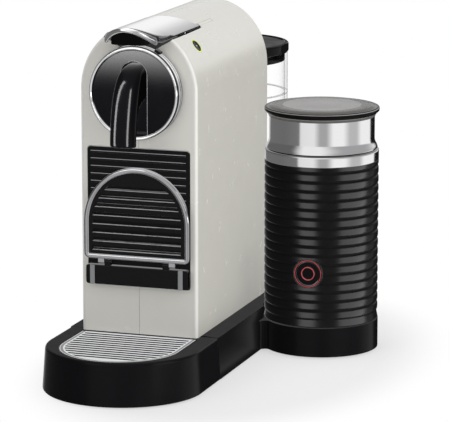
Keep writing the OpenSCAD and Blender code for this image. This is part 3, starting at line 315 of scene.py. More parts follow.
def see_through(name, colour, rough, clear, edge, narrow, **constants):
    """Thin clear plastic: it shows more of itself where it is seen edge on."""
    made = Finish(name, colour, **constants)
    rim = made.node("ShaderNodeLayerWeight", {}, 0.35, output="Facing")
    marks = made.grain(40.0, 4.0, 0.6).between(0.45, 0.75)
    made.feed(Roughness=rough + 0.06 * marks)
    made.feed(Base_Color=made.tint(marks, colour, dimmed(colour, 0.88)))
    made.bump(made.grain(120.0, 2.0), 0.03, 0.00005)
    made.alpha = clear + (edge - clear) * rim ** narrow
    return made


tank_clear = see_through("tank_clear", (0.03, 0.031, 0.033), 0.05, 0.0, 1.0, 5.0, IOR=1.2)
tank_z = tank_clear.along("Z")
moulding_lines = (tank_z.band(44.0, 45.0, 0.15) + tank_z.band(197.2, 198.3, 0.15)).clamp()
tank_clear.feed(Alpha=(tank_clear.alpha + 0.35 * moulding_lines).clamp())

smoke_lid = see_through("smoke_lid", (0.34, 0.34, 0.345), 0.10, 0.75, 0.95, 3.0, IOR=1.09)
lid_r, lid_z = smoke_lid.from_axis(FROTHER), smoke_lid.along("Z")
lid_steps = (lid_r.band(31.6, 32.6, 0.15) + lid_r.band(38.3, 39.0, 0.12) + lid_r.band(19.0, 19.5, 0.1)).clamp()
lid_tone = smoke_lid.tint(lid_r.between(31.4, 32.4), (0.36, 0.35, 0.345), (0.15, 0.145, 0.14))
lid_tone = smoke_lid.tint(lid_r.between(44.2, 45.4), lid_tone, (0.008, 0.008, 0.008))
# painted highlights: two pale lines are painted round the lid's rim
painted_rim_highlights = (lid_z.band(199.5, 200.1, 0.12) + lid_z.band(195.1, 195.6, 0.12)) * lid_r.between(42.6, 42.9)
smoke_lid.feed(Base_Color=smoke_lid.tint(painted_rim_highlights.clamp(), lid_tone, (0.34, 0.335, 0.33)))
smoke_lid.feed(Alpha=(smoke_lid.alpha + 0.28 * lid_r.between(39.4, 43.0) + 0.2 * lid_steps).clamp())


# ---------------------------------------------------------------- mesh code

RACK = Matrix.Translation(MACHINE)
CUP = Matrix.Translation(FROTHER)


def turned(axis, degrees):
    return Matrix.Rotation(math.radians(degrees), 4, axis)


def arc(centre, radius, start, end, steps):
    """Points of a flat arc, in degrees, both ends included."""
    return [(centre[0] + radius * math.cos(math.radians(start + (end - start) * i / steps)),
             centre[1] + radius * math.sin(math.radians(start + (end - start) * i / steps)))
            for i in range(steps + 1)]


def eased(points, radius, steps=4, closed=False):
    """Rounds the corners of a flat line of points."""
    result = []
    count = len(points)
    for i, here in enumerate(points):
        if not closed and i in (0, count - 1):
            result.append(here)
            continue
        p, before, after = Vector(here), Vector(points[i - 1]), Vector(points[(i + 1) % count])
        a, b = before - p, after - p
        reach = min(radius, a.length * 0.45, b.length * 0.45)
        if reach < 1e-6 or a.angle(b, math.pi) > math.radians(172):
            result.append(here)
            continue
        start, end = p + a.normalized() * reach, p + b.normalized() * reach
        for k in range(steps + 1):
            t = k / steps
            result.append(tuple(start * (1 - t) ** 2 + p * 2 * t * (1 - t) + end * t * t))
    return result


def loft(sections, loop=False):
    """Joins rings of equal length, given in millimetres, into one closed surface."""
    bm = bmesh.new()
    rings = [[bm.verts.new(p) for p in ring] for ring in sections]
    count = len(rings[0])
    for low, high in zip(rings, rings[1:] + rings[:1] if loop else rings[1:]):
        for i in range(count):
            j = (i + 1) % count
            bm.faces.new((low[i], low[j], high[j], high[i]))
    if not loop:
        bm.faces.new(list(reversed(rings[0])))
        bm.faces.new(rings[-1])
    bmesh.ops.recalc_face_normals(bm, faces=bm.faces)
    return bm


def lathe(profile, steps=128):
    """Turns a line of (radius, height) once round Z. A line that starts and ends on the axis closes there."""
    bm = bmesh.new()
    rows = []
    for r, z in profile:
        if r < 1e-6:
            rows.append([bm.verts.new((0, 0, z))])
        else:
            rows.append([bm.verts.new((r * math.cos(2 * math.pi * i / steps),
                                       r * math.sin(2 * math.pi * i / steps), z)) for i in range(steps)])
    pairs = list(zip(rows, rows[1:]))
    if profile[0][0] > 1e-6:
        pairs.append((rows[-1], rows[0]))
    for low, high in pairs:
        for i in range(steps):
            j = (i + 1) % steps
            corners = [low[i % len(low)], low[j % len(low)], high[j % len(high)], high[i % len(high)]]
            corners = list(dict.fromkeys(corners))
            if len(corners) > 2:
                bm.faces.new(corners)
    bmesh.ops.recalc_face_normals(bm, faces=bm.faces)
    return bm


def prism(outline, low, high, plane="XY"):
    """An outline drawn in two axes, drawn out along the third."""
    order = {"XY": (0, 1, 2), "XZ": (0, 2, 1), "YZ": (2, 0, 1)}[plane]
    return loft([[tuple((a, b, depth)[k] for k in order) for a, b in outline] for depth in (low, high)])


def slab(x0, x1, y0, y1, z0, z1):
    return prism([(x0, y0), (x1, y0), (x1, y1), (x0, y1)], z0, z1)


def rod(radius, low, high, steps=96):
    return lathe([(0, low), (radius, low), (radius, high), (0, high)], steps)


def worm(path, radius, sides):
    """A round bar that follows a path of points."""
    path = [Vector(p) for p in path]
    rings = []
    side = None
    for i, point in enumerate(path):
        ahead = (path[min(i + 1, len(path) - 1)] - path[max(i - 1, 0)]).normalized()
        side = (side or ahead.orthogonal()).normalized()
        side = (side - ahead * side.dot(ahead)).normalized()
        up = ahead.cross(side)
        turns = [2 * math.pi * k / sides for k in range(sides)]
        rings.append([point + (side * math.cos(a) + up * math.sin(a)) * radius for a in turns])
    return loft(rings)


def moved(bm, matrix):
    bm.transform(matrix)
    return bm


def joined(*parts):
    """Several loose solids as one mesh."""
    whole = bmesh.new()
    for part in parts:
        mesh = bpy.data.meshes.new("loose")
        part.to_mesh(mesh)
        whole.from_mesh(mesh)
        bpy.data.meshes.remove(mesh)
        part.free()
    return whole


def as_object(bm, name):
    mesh = bpy.data.meshes.new(name)
    bm.to_mesh(mesh)
    bm.free()
    made = bpy.data.objects.new(name, mesh)
    bpy.context.scene.collection.objects.link(made)
    return made


def carved(bm, *cutters):
    """Cuts each solid out of the first, exactly."""
    body = as_object(bm, "blank")
    for cutter in cutters:
        tool = as_object(cutter, "tool")
        cut = body.modifiers.new("cut", "BOOLEAN")
        cut.operation = "DIFFERENCE"
        cut.solver = "EXACT"
        cut.object = tool
        graph = bpy.context.evaluated_depsgraph_get()
        mesh = bpy.data.meshes.new_from_object(body.evaluated_get(graph))
        body.modifiers.clear()
        body.data = mesh
        bpy.data.objects.remove(tool)
    result = bmesh.new()
    result.from_mesh(body.data)
    bpy.data.objects.remove(body)
    return result


def broken_edges(bm, width, segments=2, sharper_than=32, keep=None):
    """Rounds every edge sharper than an angle."""
    bmesh.ops.remove_doubles(bm, verts=bm.verts, dist=0.004)
    bmesh.ops.dissolve_limit(bm, angle_limit=math.radians(0.8), verts=bm.verts, edges=bm.edges)
    edges = [e for e in bm.edges if len(e.link_faces) == 2 and e.calc_face_angle(0) > math.radians(sharper_than)
             and (keep is None or keep(e))]
    bmesh.ops.bevel(bm, geom=edges, offset=width, segments=segments, profile=0.5, affect="EDGES",
                    clamp_overlap=True)
    return bm


# the frother's pieces, which don't darken the housing beside them
SHADOWLESS = {"jug_sleeve", "steel_jug", "jug_lid", "jug_base", "jug_motor", "drive_magnet", "whisk",
              "lid_seal"}


def fitted(name, bm, finish, nodes=(), body=None, slot=None, place=None, sharp=38):
    """Makes the piece, puts it in its place in metres, and lets it ride and stand for its CAD nodes."""
    if place is not None:
        bm.transform(place)
    bm.transform(Matrix.Scale(MM, 4))
    piece = as_object(bm, name)
    for face in piece.data.polygons:
        face.use_smooth = True
    piece.data.set_sharp_from_angle(angle=math.radians(sharp))
    piece.modifiers.new("even_normals", "WEIGHTED_NORMAL").keep_sharp = True
    piece.data.materials.append(finish.material)
    nodes = (nodes,) if isinstance(nodes, str) else nodes
    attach(piece, body or frame["nodes"][nodes[0]]["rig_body"])
    if nodes:
        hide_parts(*nodes)
    piece.visible_glossy = False
    piece.visible_shadow = piece.visible_diffuse = not SHADOWLESS.intersection(nodes)
    return piece


def refined(node, width, finish, segments=2, sharper_than=32, keep=None, name=None, sharp=38):
    """A CAD node's own shape with its edges broken, as a piece of its own."""
    bm = bmesh.new()
    bm.from_mesh(frame["nodes"][node].data)
    bm.transform(Matrix.Scale(1 / MM, 4))
    broken_edges(bm, width, segments, sharper_than, keep)
    return fitted(name or node + "_piece", bm, finish, node, sharp=sharp)


# ---------------------------------------------------------------- body halves

HALF_W, SPRING_Z, ROOF_RISE = 48.3, 229.0, 52.0
BODY_LEN, WALL, LOW_Z = 178.4, 2.5, 35.6
FRONT_ROUND, BACK_ROUND = 3.0, 1.2
RING_Z = SPRING_Z
ON_FRONT = Matrix.Translation((0, 0, RING_Z)) @ turned("X", 90)


def roof_height(x, inset=0.0):
    return SPRING_Z + (ROOF_RISE - inset) * math.sqrt(max(0.0, 1 - (x / (HALF_W - inset)) ** 2))


def half_section(inset, low, seam):
    """The right half of the body's outline, as X and Z."""
    steps = 64
    line = [(seam, low), (HALF_W - inset, low), (HALF_W - inset, 150.0)]
    for i in range(steps + 1):
        a = math.acos(seam / (HALF_W - inset)) * i / steps
        line.append(((HALF_W - inset) * math.cos(a), SPRING_Z + (ROOF_RISE - inset) * math.sin(a)))
    return line


def body_half(low, seam, stations):
    return loft([[(x, y, z) for x, z in half_section(inset, low, seam)] for y, inset in stations])


# the rounded tongue between the lever's arms, and the hood's round rear edge just inside it
TONGUE_R, TONGUE_Y, HOOD_REAR, ARM_X = 32.0, 90.24, 89.2, 23.8


def slot_cutter():
    """The lever's slot in the roof: arms at the sides, a rounded tongue between them."""
    outline = [(-1, WALL), (26.5, WALL), (26.5, 102), (ARM_X, 102)]
    for x in [ARM_X * (1 - i / 24) for i in range(25)]:
        outline.append((x, TONGUE_Y - math.sqrt(TONGUE_R ** 2 - x * x)))
    return prism(outline + [(-1, TONGUE_Y - TONGUE_R)], 264, 300)


def slot_flare():
    """The gap between the lever and the roof, up to the lever's rear corners."""
    outline = [(26.0, 2), (28.6, 2), (28.6, 34), (28.4, 52), (28.2, 68.5), (27.6, 70.6), (26.0, 71.2)]
    return prism(outline, 267.0, 300)


def front_slot_cutter():
    """The front wall's upper edge, which dips under the lever's lip."""
    edge = [(28.6, 271.4), (26.4, 269.4), (24.0, 268.0), (21.0, 266.4), (18.0, 264.6), (15.5, 262.6),
            (-1, 262.6)]
    return prism([(28.6, 300)] + edge + [(-1, 300)], -2, WALL + 0.5, "XZ")


BUTTON_PLACE = Vector((37.1, 32.6, 262.286))
BUTTON_TILT = math.degrees(math.atan2(0.790842, 0.612021))
AT_BUTTON = Matrix.Translation(BUTTON_PLACE) @ turned("Y", BUTTON_TILT)


def rounded_panel(half_w, low, high, radius, front, back):
    """A plate with round corners, symmetric about the centre line."""
    corners = [(half_w, low), (half_w, high), (-half_w, high), (-half_w, low)]
    return prism(eased(corners, radius, 6, closed=True), front, back, "XZ")


def body_shell():
    front = [(FRONT_ROUND * (1 - math.sin(a)), FRONT_ROUND * (1 - math.cos(a)))
             for a in map(math.radians, range(90, -1, -10))]
    back = [(BODY_LEN - BACK_ROUND * (1 - math.sin(a)), BACK_ROUND * (1 - math.cos(a)))
            for a in map(math.radians, range(0, 91, 18))]
    shell = body_half(LOW_Z, 0.15, front + back)
    hollow = body_half(LOW_Z - 3, -2.0, [(WALL, WALL), (BODY_LEN + 3, WALL)])
    shell = carved(shell, hollow, moved(rod(33.2, -3.5, 1, 160), ON_FRONT),
                   rounded_panel(42.7, 73.3, 184.6, 3.4, -1, WALL + 0.7),
                   slab(-1, 16, -1, WALL + 0.7, 261.2, 300), slot_cutter(), front_slot_cutter(), slot_flare(),
                   moved(rod(6.0, -12, 12, 64), AT_BUTTON))
    return broken_edges(shell, 0.35, 2, 34)


mirror = Matrix.Scale(-1, 4, (1, 0, 0))
right_half = body_shell()
left_half = right_half.copy()
moved(left_half, mirror)
bmesh.ops.reverse_faces(left_half, faces=left_half.faces)
fitted("housing_right", right_half, cream, "side_shell_right", place=RACK)
fitted("housing_left", left_half, cream, "side_shell_left", place=RACK)

# ---------------------------------------------------------------- front ring and disc

ring_line = [(34.4, 0), (34.4, 10.8)] + arc((35.35, 11.2), 1.0, 180, 10, 12)
ring_line += [(36.25, 10.2), (36.0, 9.5), (35.9, 8.9)] + arc((36.2, 8.5), 0.75, 110, 0, 8)
ring_line += [(37.0, 7.0), (37.0, 2.4), (36.5, 1.7), (36.5, 0)]
ring_metal = plated("ring_metal", (0.84, 0.845, 0.85), 0.05)
ring_r = ring_metal.from_axis(MACHINE + Vector((0, 0, RING_Z)), "Y")
proud = -1.0 * ring_metal.along("Y", MACHINE.y)
# painted shade and painted reflection: the groove, a line round the side wall, the foot against the housing and
# the inside face are painted near black
painted_groove_shade = proud.band(8.6, 10.4, 0.15) * ring_r.between(35.7, 35.9)
painted_side_reflection = proud.band(4.5, 5.5, 0.12) * ring_r.between(36.5, 36.7)
painted_foot_shade = 1.0 - proud.between(1.7, 2.4)
painted_inside_shade = (1.0 - ring_r.between(34.5, 34.7)) * (1.0 - proud.between(9.8, 10.3))
painted_ring_shade = (painted_groove_shade + painted_side_reflection + painted_foot_shade + painted_inside_shade).clamp()
ring_metal.feed(Base_Color=ring_metal.tint(painted_ring_shade, (0.84, 0.845, 0.85), (0.03, 0.03, 0.032)),
                Metallic=1.0 - 0.75 * ring_r.between(36.2, 36.5))
fitted("ring_piece", lathe(ring_line, 192), ring_metal, "front_ring", place=RACK @ ON_FRONT, sharp=50)

RECESS_W, RECESS_CENTRE = 11.0, RING_Z + 25.3 - 11.0


def recess_line(inset, low=RING_Z - 40):
    w = RECESS_W - inset
    return [(w, low)] + arc((0, RECESS_CENTRE), w, 0, 180, 40) + [(-w, low)]


disc = lathe([(0, -4), (32.9, -4), (32.9, 0), (34.1, 0), (34.1, 9.4), (33.5, 10.0), (0, 10.0)], 192)
disc = carved(moved(disc, ON_FRONT), prism(recess_line(0, RING_Z - 31.5), -20, 1.0, "XZ"))
disc_black = moulded("disc_black", (0.002, 0.002, 0.003), 0.11, grain=160.0, strength=0.01, shine=0.06)
cap_black = moulded("cap_black", (0.004, 0.004, 0.005), 0.12, grain=160.0, strength=0.02, shine=0.06)
sheen = disc_black.along("Z", RING_Z).between(-4.0, 36.0)
disc_black.hold(Coat_Roughness=0.25).feed(Coat_Weight=sheen * sheen)
matt_on_top(disc_black, 0.10, 0.7)
disc_piece = fitted("disc_piece", broken_edges(disc, 0.5, 3, 50), disc_black, "front_disc", place=RACK)
spout_black = moulded("spout_black", (0.0006, 0.0006, 0.0008), 0.13, grain=160.0, strength=0.005, shine=0.06)

trim_steel = plated("trim_steel", (0.34, 0.34, 0.35), 0.22)
foot = RING_Z - math.sqrt(34.1 ** 2 - RECESS_W ** 2)
trim = [(x, -10.1, z) for x, z in recess_line(-0.1, foot)]
fitted("recess_trim", worm(trim, 0.24, 10), trim_steel, body="machine", slot="chrome_trim", place=RACK)

# ---------------------------------------------------------------- spout

# height, front face Y, back face Y, half width
SPOUT_ROWS = [(191.0, -38.9, -29.6, 9.6), (191.4, -40.0, -29.0, 10.2), (192.6, -40.5, -28.7, 10.4),
              (197.0, -40.4, -28.3, 10.4), (202.0, -39.9, -27.7, 10.4), (208.0, -39.0, -26.6, 10.4),
              (214.0, -37.8, -24.6, 10.4), (218.0, -36.8, -22.3, 10.4), (221.5, -35.9, -18.8, 10.3),
              (223.8, -35.2, -12.5, 10.3), (225.4, -34.7, -6.0, 10.3), (226.3, -34.4, 0.6, 10.2),
              (229.0, -33.4, 0.9, 10.2), (233.5, -31.4, 0.9, 10.0), (238.0, -28.9, 0.9, 9.7),
              (242.0, -25.9, 0.9, 9.4), (245.5, -22.3, 0.9, 8.8), (248.0, -18.2, 0.9, 8.1),
              (249.6, -13.8, 0.9, 7.3), (250.7, -8.6, 0.9, 6.4), (251.2, -3.5, 0.9, 5.4)]


def spout_ring(z, front, back, w, sides=64):
    """A rounded front with its widest line at one depth behind it, and sides that run back from there."""
    ring = []
    deep = 6.8
    for i in range(sides):
        a = 2 * math.pi * i / sides
        c, s = math.cos(a), math.sin(a)
        reach = deep if s < 0 else back - front - deep
        flat = 0.86 if s < 0 else 0.45 + 0.41 * max(0.0, min(1.0, (14.0 - reach) / 9.0))
        x, y = w * math.copysign(abs(c) ** flat, c), reach * math.copysign(abs(s) ** flat, s)
        ring.append((x, front + deep + y, z))
    return ring


spout = carved(loft([spout_ring(*row) for row in SPOUT_ROWS]),
               *[moved(rod(1.8, 185, 203, 32), Matrix.Translation((x, -33.5, 0))) for x in (-5.2, 5.2)])
spout_piece = fitted("spout_piece", broken_edges(spout, 0.3, 2, 60), spout_black, "spout", place=RACK, sharp=55)

# ---------------------------------------------------------------- lever

LEVER_W, NOSE_Y, NOSE_LEN, LIP = 26.2, 2.5, 33.5, 4.0
# the nose's round outline ends at these shoulders, where straight sides take over
SHOULDER_X, SHOULDER_Y = 22.8, -14.0
# the hood stands this far over the roof, and its front corners lie this much lower than its crown
HOOD_OUT, HOOD_SAG, FRONT_FLICK = 0.2, 2.7, 0.9


def hood_surface(drop, trim_edge):
    """One skin of the hood as rows of points from side to side; trim_edge draws its outline in."""
    columns, rows = 64, 40
    grid = []
    w = LEVER_W - trim_edge
    for i in range(columns + 1):
        theta = math.radians(-90 + 180 * i / columns)
        x = w * math.sin(theta)
        rear = HOOD_REAR - math.sqrt(TONGUE_R ** 2 - x * x) - trim_edge
        nose = NOSE_Y - NOSE_LEN * math.cos(theta)
        front = nose + LIP + 0.3 if nose < SHOULDER_Y - LIP / 2 else max(nose, SHOULDER_Y)
        front += trim_edge
        z = roof_height(x, -HOOD_OUT) - drop
        line = []
        for j in range(rows + 1):
            y = front + (rear - front) * (j / rows) ** 1.5
            bent = max(0.0, min(1.0, (4.0 - y) / 20.0))
            turned_up = max(0.0, min(1.0, (front + 9.0 - y) / 9.0))
            sag = HOOD_SAG * (x / SHOULDER_X) ** 2 * bent * bent * (3 - 2 * bent)
            line.append((x, y, z - sag + FRONT_FLICK * turned_up ** 1.5))
        grid.append(line)
    return grid


def sheet(skins):
    """A closed shell from nested skins of the same grid, outer skin first."""
    bm = bmesh.new()
    tables = [[[bm.verts.new(p) for p in line] for line in skin] for skin in skins]
    top, bottom = tables[0], tables[-1]
    lines, count = len(top), len(top[0])
    for i in range(lines - 1):
        for j in range(count - 1):
            bm.faces.new((top[i][j], top[i + 1][j], top[i + 1][j + 1], top[i][j + 1]))
            bm.faces.new((bottom[i][j], bottom[i][j + 1], bottom[i + 1][j + 1], bottom[i + 1][j]))
    rim = [(i, 0) for i in range(lines)] + [(lines - 1, j) for j in range(1, count)]
    rim += [(i, count - 1) for i in range(lines - 2, -1, -1)] + [(0, j) for j in range(count - 2, 0, -1)]
    for upper, lower in zip(tables, tables[1:]):
        for (a, b), (c, d) in zip(rim, rim[1:] + rim[:1]):
            bm.faces.new((upper[a][b], upper[c][d], lower[c][d], lower[a][b]))
    bmesh.ops.recalc_face_normals(bm, faces=bm.faces)
    return bm


# how far down each skin lies, and how much its outline is drawn in: round edges over a 1.6 mm sheet
HOOD_SKINS = [(0.0, 0.5), (0.15, 0.15), (0.5, 0.0), (1.1, 0.0), (1.5, 0.3), (1.6, 0.6)]
hood_silver = plated("hood_silver", (0.92, 0.92, 0.925), 0.12, IOR=1.08)
hood_x = hood_silver.along("X", MACHINE.x)
nose_round = (1.0 - (hood_x / LEVER_W) ** 2.0).clamp() ** 0.5
from_nose = hood_silver.along("Y", MACHINE.y + NOSE_Y) + NOSE_LEN * nose_round
# painted reflection and shade: the hood is painted darker towards its right side, near black at its left edge
# and in a band behind the lip
painted_hood_shade = hood_silver.tint(hood_x.between(9.0, 28.0), (0.95, 0.95, 0.955), (0.40, 0.40, 0.41))
painted_hood_shade = hood_silver.tint(hood_x.between(-19.5, -4.0), (0.05, 0.05, 0.052), painted_hood_shade)
hood_silver.feed(Metallic=0.15 + 0.85 * hood_x.between(-21.5, -14.0),
                 Base_Color=hood_silver.tint(from_nose.between(6.5, 12.0), (0.05, 0.05, 0.052), painted_hood_shade))
fitted("hood_piece", sheet([hood_surface(*skin) for skin in HOOD_SKINS]), hood_silver, "lever_hood", place=RACK,
       sharp=70)

# what covers the slot behind the hood, carried by the lever's arms
for side, node_side in ((1, "right"), (-1, "left")):
    xs = [side * (23.95 + 0.4 * i) for i in range(7)]
    section = [(x, roof_height(x)) for x in xs] + [(x, roof_height(x) - 2.4) for x in reversed(xs)]
    fitted("arm_cover_" + node_side, broken_edges(prism(section, 71.6, 101.7, "XZ"), 0.3, 2, 60), cream,
           body=frame["nodes"]["lever_arms"]["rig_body"], slot=SLOT_OF["side_shell_" + node_side], place=RACK)

LIP_STEPS, LIP_SIDES, LIP_LEN, LIP_END, LIP_Z, LIP_FALL = 72, 24, 92.0, 3.0, 280.85, 0.0238


def lip_ring(share):
    """The lip's section at a share of its length: higher than deep at the ends, where it closes in a bulb."""
    reach = math.degrees(math.acos((NOSE_Y + 13.8) / NOSE_LEN)) - 1.5
    theta = math.radians(-reach + 2 * reach * share)
    nose = Vector((LEVER_W * math.sin(theta), NOSE_Y - NOSE_LEN * math.cos(theta)))
    out = Vector((math.sin(theta) / LEVER_W, -math.cos(theta) / NOSE_LEN)).normalized()
    from_end = min(share, 1 - share) * LIP_LEN
    bulb = math.sqrt(max(0.02, 1 - (1 - min(from_end / LIP_END, 1.0)) ** 2))
    deep = LIP / 2 * (0.62 + 0.38 * abs(out.y))
    middle = nose - out * deep
    tall = 1.75 + 1.55 * (middle.x / SHOULDER_X) ** 2
    high = LIP_Z - LIP_FALL * middle.x ** 2
    ring = []
    for k in range(LIP_SIDES):
        a = 2 * math.pi * k / LIP_SIDES
        flat = middle + out * (math.cos(a) * deep * bulb)
        ring.append((flat.x, flat.y, high + math.sin(a) * tall * bulb))
    return ring


fitted("lip_piece", loft([lip_ring(i / LIP_STEPS) for i in range(LIP_STEPS + 1)]), lever_silver, "lever_lip",
       place=RACK, sharp=80)

# ---------------------------------------------------------------- brew buttons

cap_line = [(0, -0.25), (2.6, -0.18), (3.7, 0.0), (4.2, 0.18), (4.6, 0.12), (4.8, -0.25), (4.8, -4), (0, -4)]
glow_line = [(5.12, -3), (5.12, -0.35), (5.3, -0.05), (5.8, -0.05), (5.98, -0.35), (5.98, -3)]
dot_line = [(0, -0.3), (0.55, -0.3), (0.55, -0.14), (0.4, -0.1), (0, -0.1)]
for side, node_side in ((1, "right"), (-1, "left")):
    there = RACK @ (AT_BUTTON if side == 1 else mirror @ AT_BUTTON @ mirror)
    fitted("brew_cap_" + node_side, lathe(cap_line, 64), cap_black, "brew_button_" + node_side, place=there)
    fitted("brew_glow_" + node_side, lathe(glow_line, 64), glow_green, "button_ring_" + node_side, place=there)
    fitted("brew_dot_" + node_side, lathe(dot_line, 20), ready_dot, body="brew_button_" + node_side,
           slot="glow_green", place=there)

# ---------------------------------------------------------------- cup support

SUPPORT_W, SUPPORT_RISE, SUPPORT_TOP, HINGE_Z = 43.7, 44.5, 169.4, 93.4
SUPPORT_LOW = HINGE_Z + 2.3


def hoop(path, section):
    """Sweeps a section, as (outward, Y), round a closed line of (X, Z)."""
    pts = [Vector(p) for p in path]
    rings = []
    for i, p in enumerate(pts):
        ahead = (pts[(i + 1) % len(pts)] - pts[i - 1]).normalized()
        out = Vector((ahead.y, -ahead.x))
        rings.append([(p.x + out.x * u, v, p.y + out.y * u) for u, v in section])
    return loft(rings, loop=True)


HALF_BEAD, BEAD_FRONT, BEAD_BACK, KNUCKLE_R, KNUCKLE_Y = 1.9, -6.9, -1.9, 1.9, -4.4


def rim_line():
    """The middle line of the rim: a straight foot, two sides and an arch, with eased lower corners."""
    spring, w = SUPPORT_TOP - SUPPORT_RISE, SUPPORT_W - HALF_BEAD
    arch = [(w * math.cos(a), spring + (SUPPORT_RISE - HALF_BEAD) * math.sin(a))
            for a in map(math.radians, range(0, 181, 3))]
    right = [(w, SUPPORT_LOW + HALF_BEAD), (w, spring - 10)]
    return eased(right + arch + [(-x, z) for x, z in reversed(right)], 2.5, 4, closed=True)


bead = eased([(HALF_BEAD, BEAD_FRONT), (HALF_BEAD, BEAD_BACK), (-HALF_BEAD, BEAD_BACK),
              (-HALF_BEAD, BEAD_FRONT)], 1.5, 4, closed=True)
knuckles = []
for side in (1, -1):
    low, high = sorted((side * 27.0, side * 32.0))
    knuckles.append(slab(low, high, KNUCKLE_Y - KNUCKLE_R, KNUCKLE_Y + KNUCKLE_R, HINGE_Z - 0.01, 97.6))
    knuckles.append(prism(arc((KNUCKLE_Y, HINGE_Z), KNUCKLE_R, 0, 348, 29), low, high, "YZ"))
rim_steel = plated("rim_steel", (0.38, 0.38, 0.39), 0.10)
fitted("support_rim_piece", joined(hoop(rim_line(), bead), *knuckles), rim_steel, "cup_support_rim", place=RACK,
       sharp=50)

# ---------------------------------------------------------------- front panel

panel = broken_edges(rounded_panel(42.3, 73.7, 184.2, 3.0, -0.6, 2.4), 0.4, 2, 50)
RIB_COUNT, RIB_TOP, RIB_PITCH = 14, 180.2, 5.95
ribs = []
for i in range(RIB_COUNT):
    z = RIB_TOP - RIB_PITCH * i
    section = eased([(-1.5, z - 0.6), (-1.5, z + 0.6), (-0.55, z + 0.9), (-0.55, z - 0.9)], 0.4, 3, closed=True)
    ribs.append(prism(section, -39.5, 39.5, "YZ"))
fitted("panel_piece", joined(panel, *ribs), rib_black, "container_panel", place=RACK)

gloss = broken_edges(rounded_panel(42.3, 75.1, 90.5, 2.4, -6.5, -0.55), 0.7, 3, 50)
lugs = []
for side in (1, -1):
    low, high = sorted((side * 21.7, side * 26.7))
    head = arc((KNUCKLE_Y, HINGE_Z), KNUCKLE_R, 0, 180, 10)
    lugs.append(prism([(KNUCKLE_Y - KNUCKLE_R, 90.2), (KNUCKLE_Y + KNUCKLE_R, 90.2)] + head, low, high, "YZ"))
fitted("gloss_box_piece", joined(gloss, *lugs), piano, "gloss_box", place=RACK)

# ---------------------------------------------------------------- drip tray and base

TRAY_BACK, TRAY_SIDE, TRAY_NOSE, GRID_W, GRID_NOSE = 9.7, 64.0, -34.0, 47.5, -42.0
HALF_TURN = [math.pi * i / 96 for i in range(97)]


def tray_ring(side_in, front_in, z, back_in=0.0):
    side, front = TRAY_SIDE - side_in, TRAY_SIDE - front_in
    nose = [(side * math.cos(a), TRAY_NOSE - front * math.sin(a), z) for a in HALF_TURN]
    return [(side, TRAY_BACK - back_in, z)] + nose + [(-side, TRAY_BACK - back_in, z)]


def grid_ring(grow, z):
    w = GRID_W + grow
    nose = [(w * math.cos(a), GRID_NOSE - w * math.sin(a), z) for a in HALF_TURN]
    return [(w, -1.2 + grow, z)] + nose + [(-w, -1.2 + grow, z)]


# from the underside up the sloping wall, over the rounded rim and down inside
tray_rings = [tray_ring(1.6, 1.6, 1.0, 0.5), tray_ring(0.8, 0.8, 1.1, 0.1), tray_ring(0.2, 0.3, 1.7),
              tray_ring(0, 0, 2.6)]
tray_rings += [tray_ring(1.9 * t, 4.3 * t, 2.6 + 29.6 * t) for t in (0.33, 0.66, 1.0)]
for b in [math.radians(15 * k) for k in range(1, 7)]:
    over = 1 - math.cos(b)
    tray_rings.append(tray_ring(1.9 + 1.7 * over, 4.3 + 2.4 * over, 32.2 + 2.6 * math.sin(b), 0.3 * over))
tray_rings += [grid_ring(1.2, 34.8), grid_ring(0.7, 34.65), grid_ring(0.4, 34.3), grid_ring(0.4, 32.4),
               grid_ring(-2.8, 32.4), grid_ring(-3.0, 32.1), grid_ring(-3.0, 4.4), grid_ring(-4.0, 3.6)]
tongues = [slab(x - 3, x + 3, TRAY_BACK - 0.5, TRAY_BACK + 14, 8, 16) for x in (-30, 30)]
fitted("tray_piece", joined(loft(tray_rings), *tongues), deck_black, "drip_tray", place=RACK, sharp=40)

TANK = Vector((0.0, 211.0, 0.0))
BASE_TOP, BASE_R, FOOT_TOP, FOOT_R, LID_LOW, LID_R = 34.8, 57.0, 25.3, 46.7, 231.5, 53.0


def edge_place(e):
    """The middle of an edge, over the machine's own centre line and front."""
    return (e.verts[0].co + e.verts[1].co) / 2 - MACHINE


def top_outline_edge(e):
    """Edges round the top of the base and of the frother's foot, not the holes in them."""
    p = edge_place(e)
    if abs(p.z - BASE_TOP) < 0.05:
        behind_tank = abs((p - TANK).xy.length - BASE_R) < 0.6 and p.y > 180
        return abs(p.x) > 61.4 or (p.y > 171 and abs(p.x) > 48) or behind_tank
    return abs(p.z - FOOT_TOP) < 0.05 and ((p - FROTHER + MACHINE).xy.length > FOOT_R or p.y < 118)


def lid_rim_edge(e):
    """Edges round the outside of the tank lid's band."""
    p = edge_place(e)
    return p.z > LID_LOW and ((p - TANK).xy.length > LID_R or p.y < 179.6)


refined("base_housing", 1.5, deck_black, 4, 32, top_outline_edge, "base_piece", 45)

# ---------------------------------------------------------------- frother

SLEEVE_R, SLEEVE_LOW, SLEEVE_TOP, PITCH, RIB_DEPTH = 46.6, 25.8, 157.28, 7.54, 1.05
AT_ROUND_BUTTON = turned("Z", -86.5) @ Matrix.Translation((0, 0, 70.5)) @ turned("Y", 90)

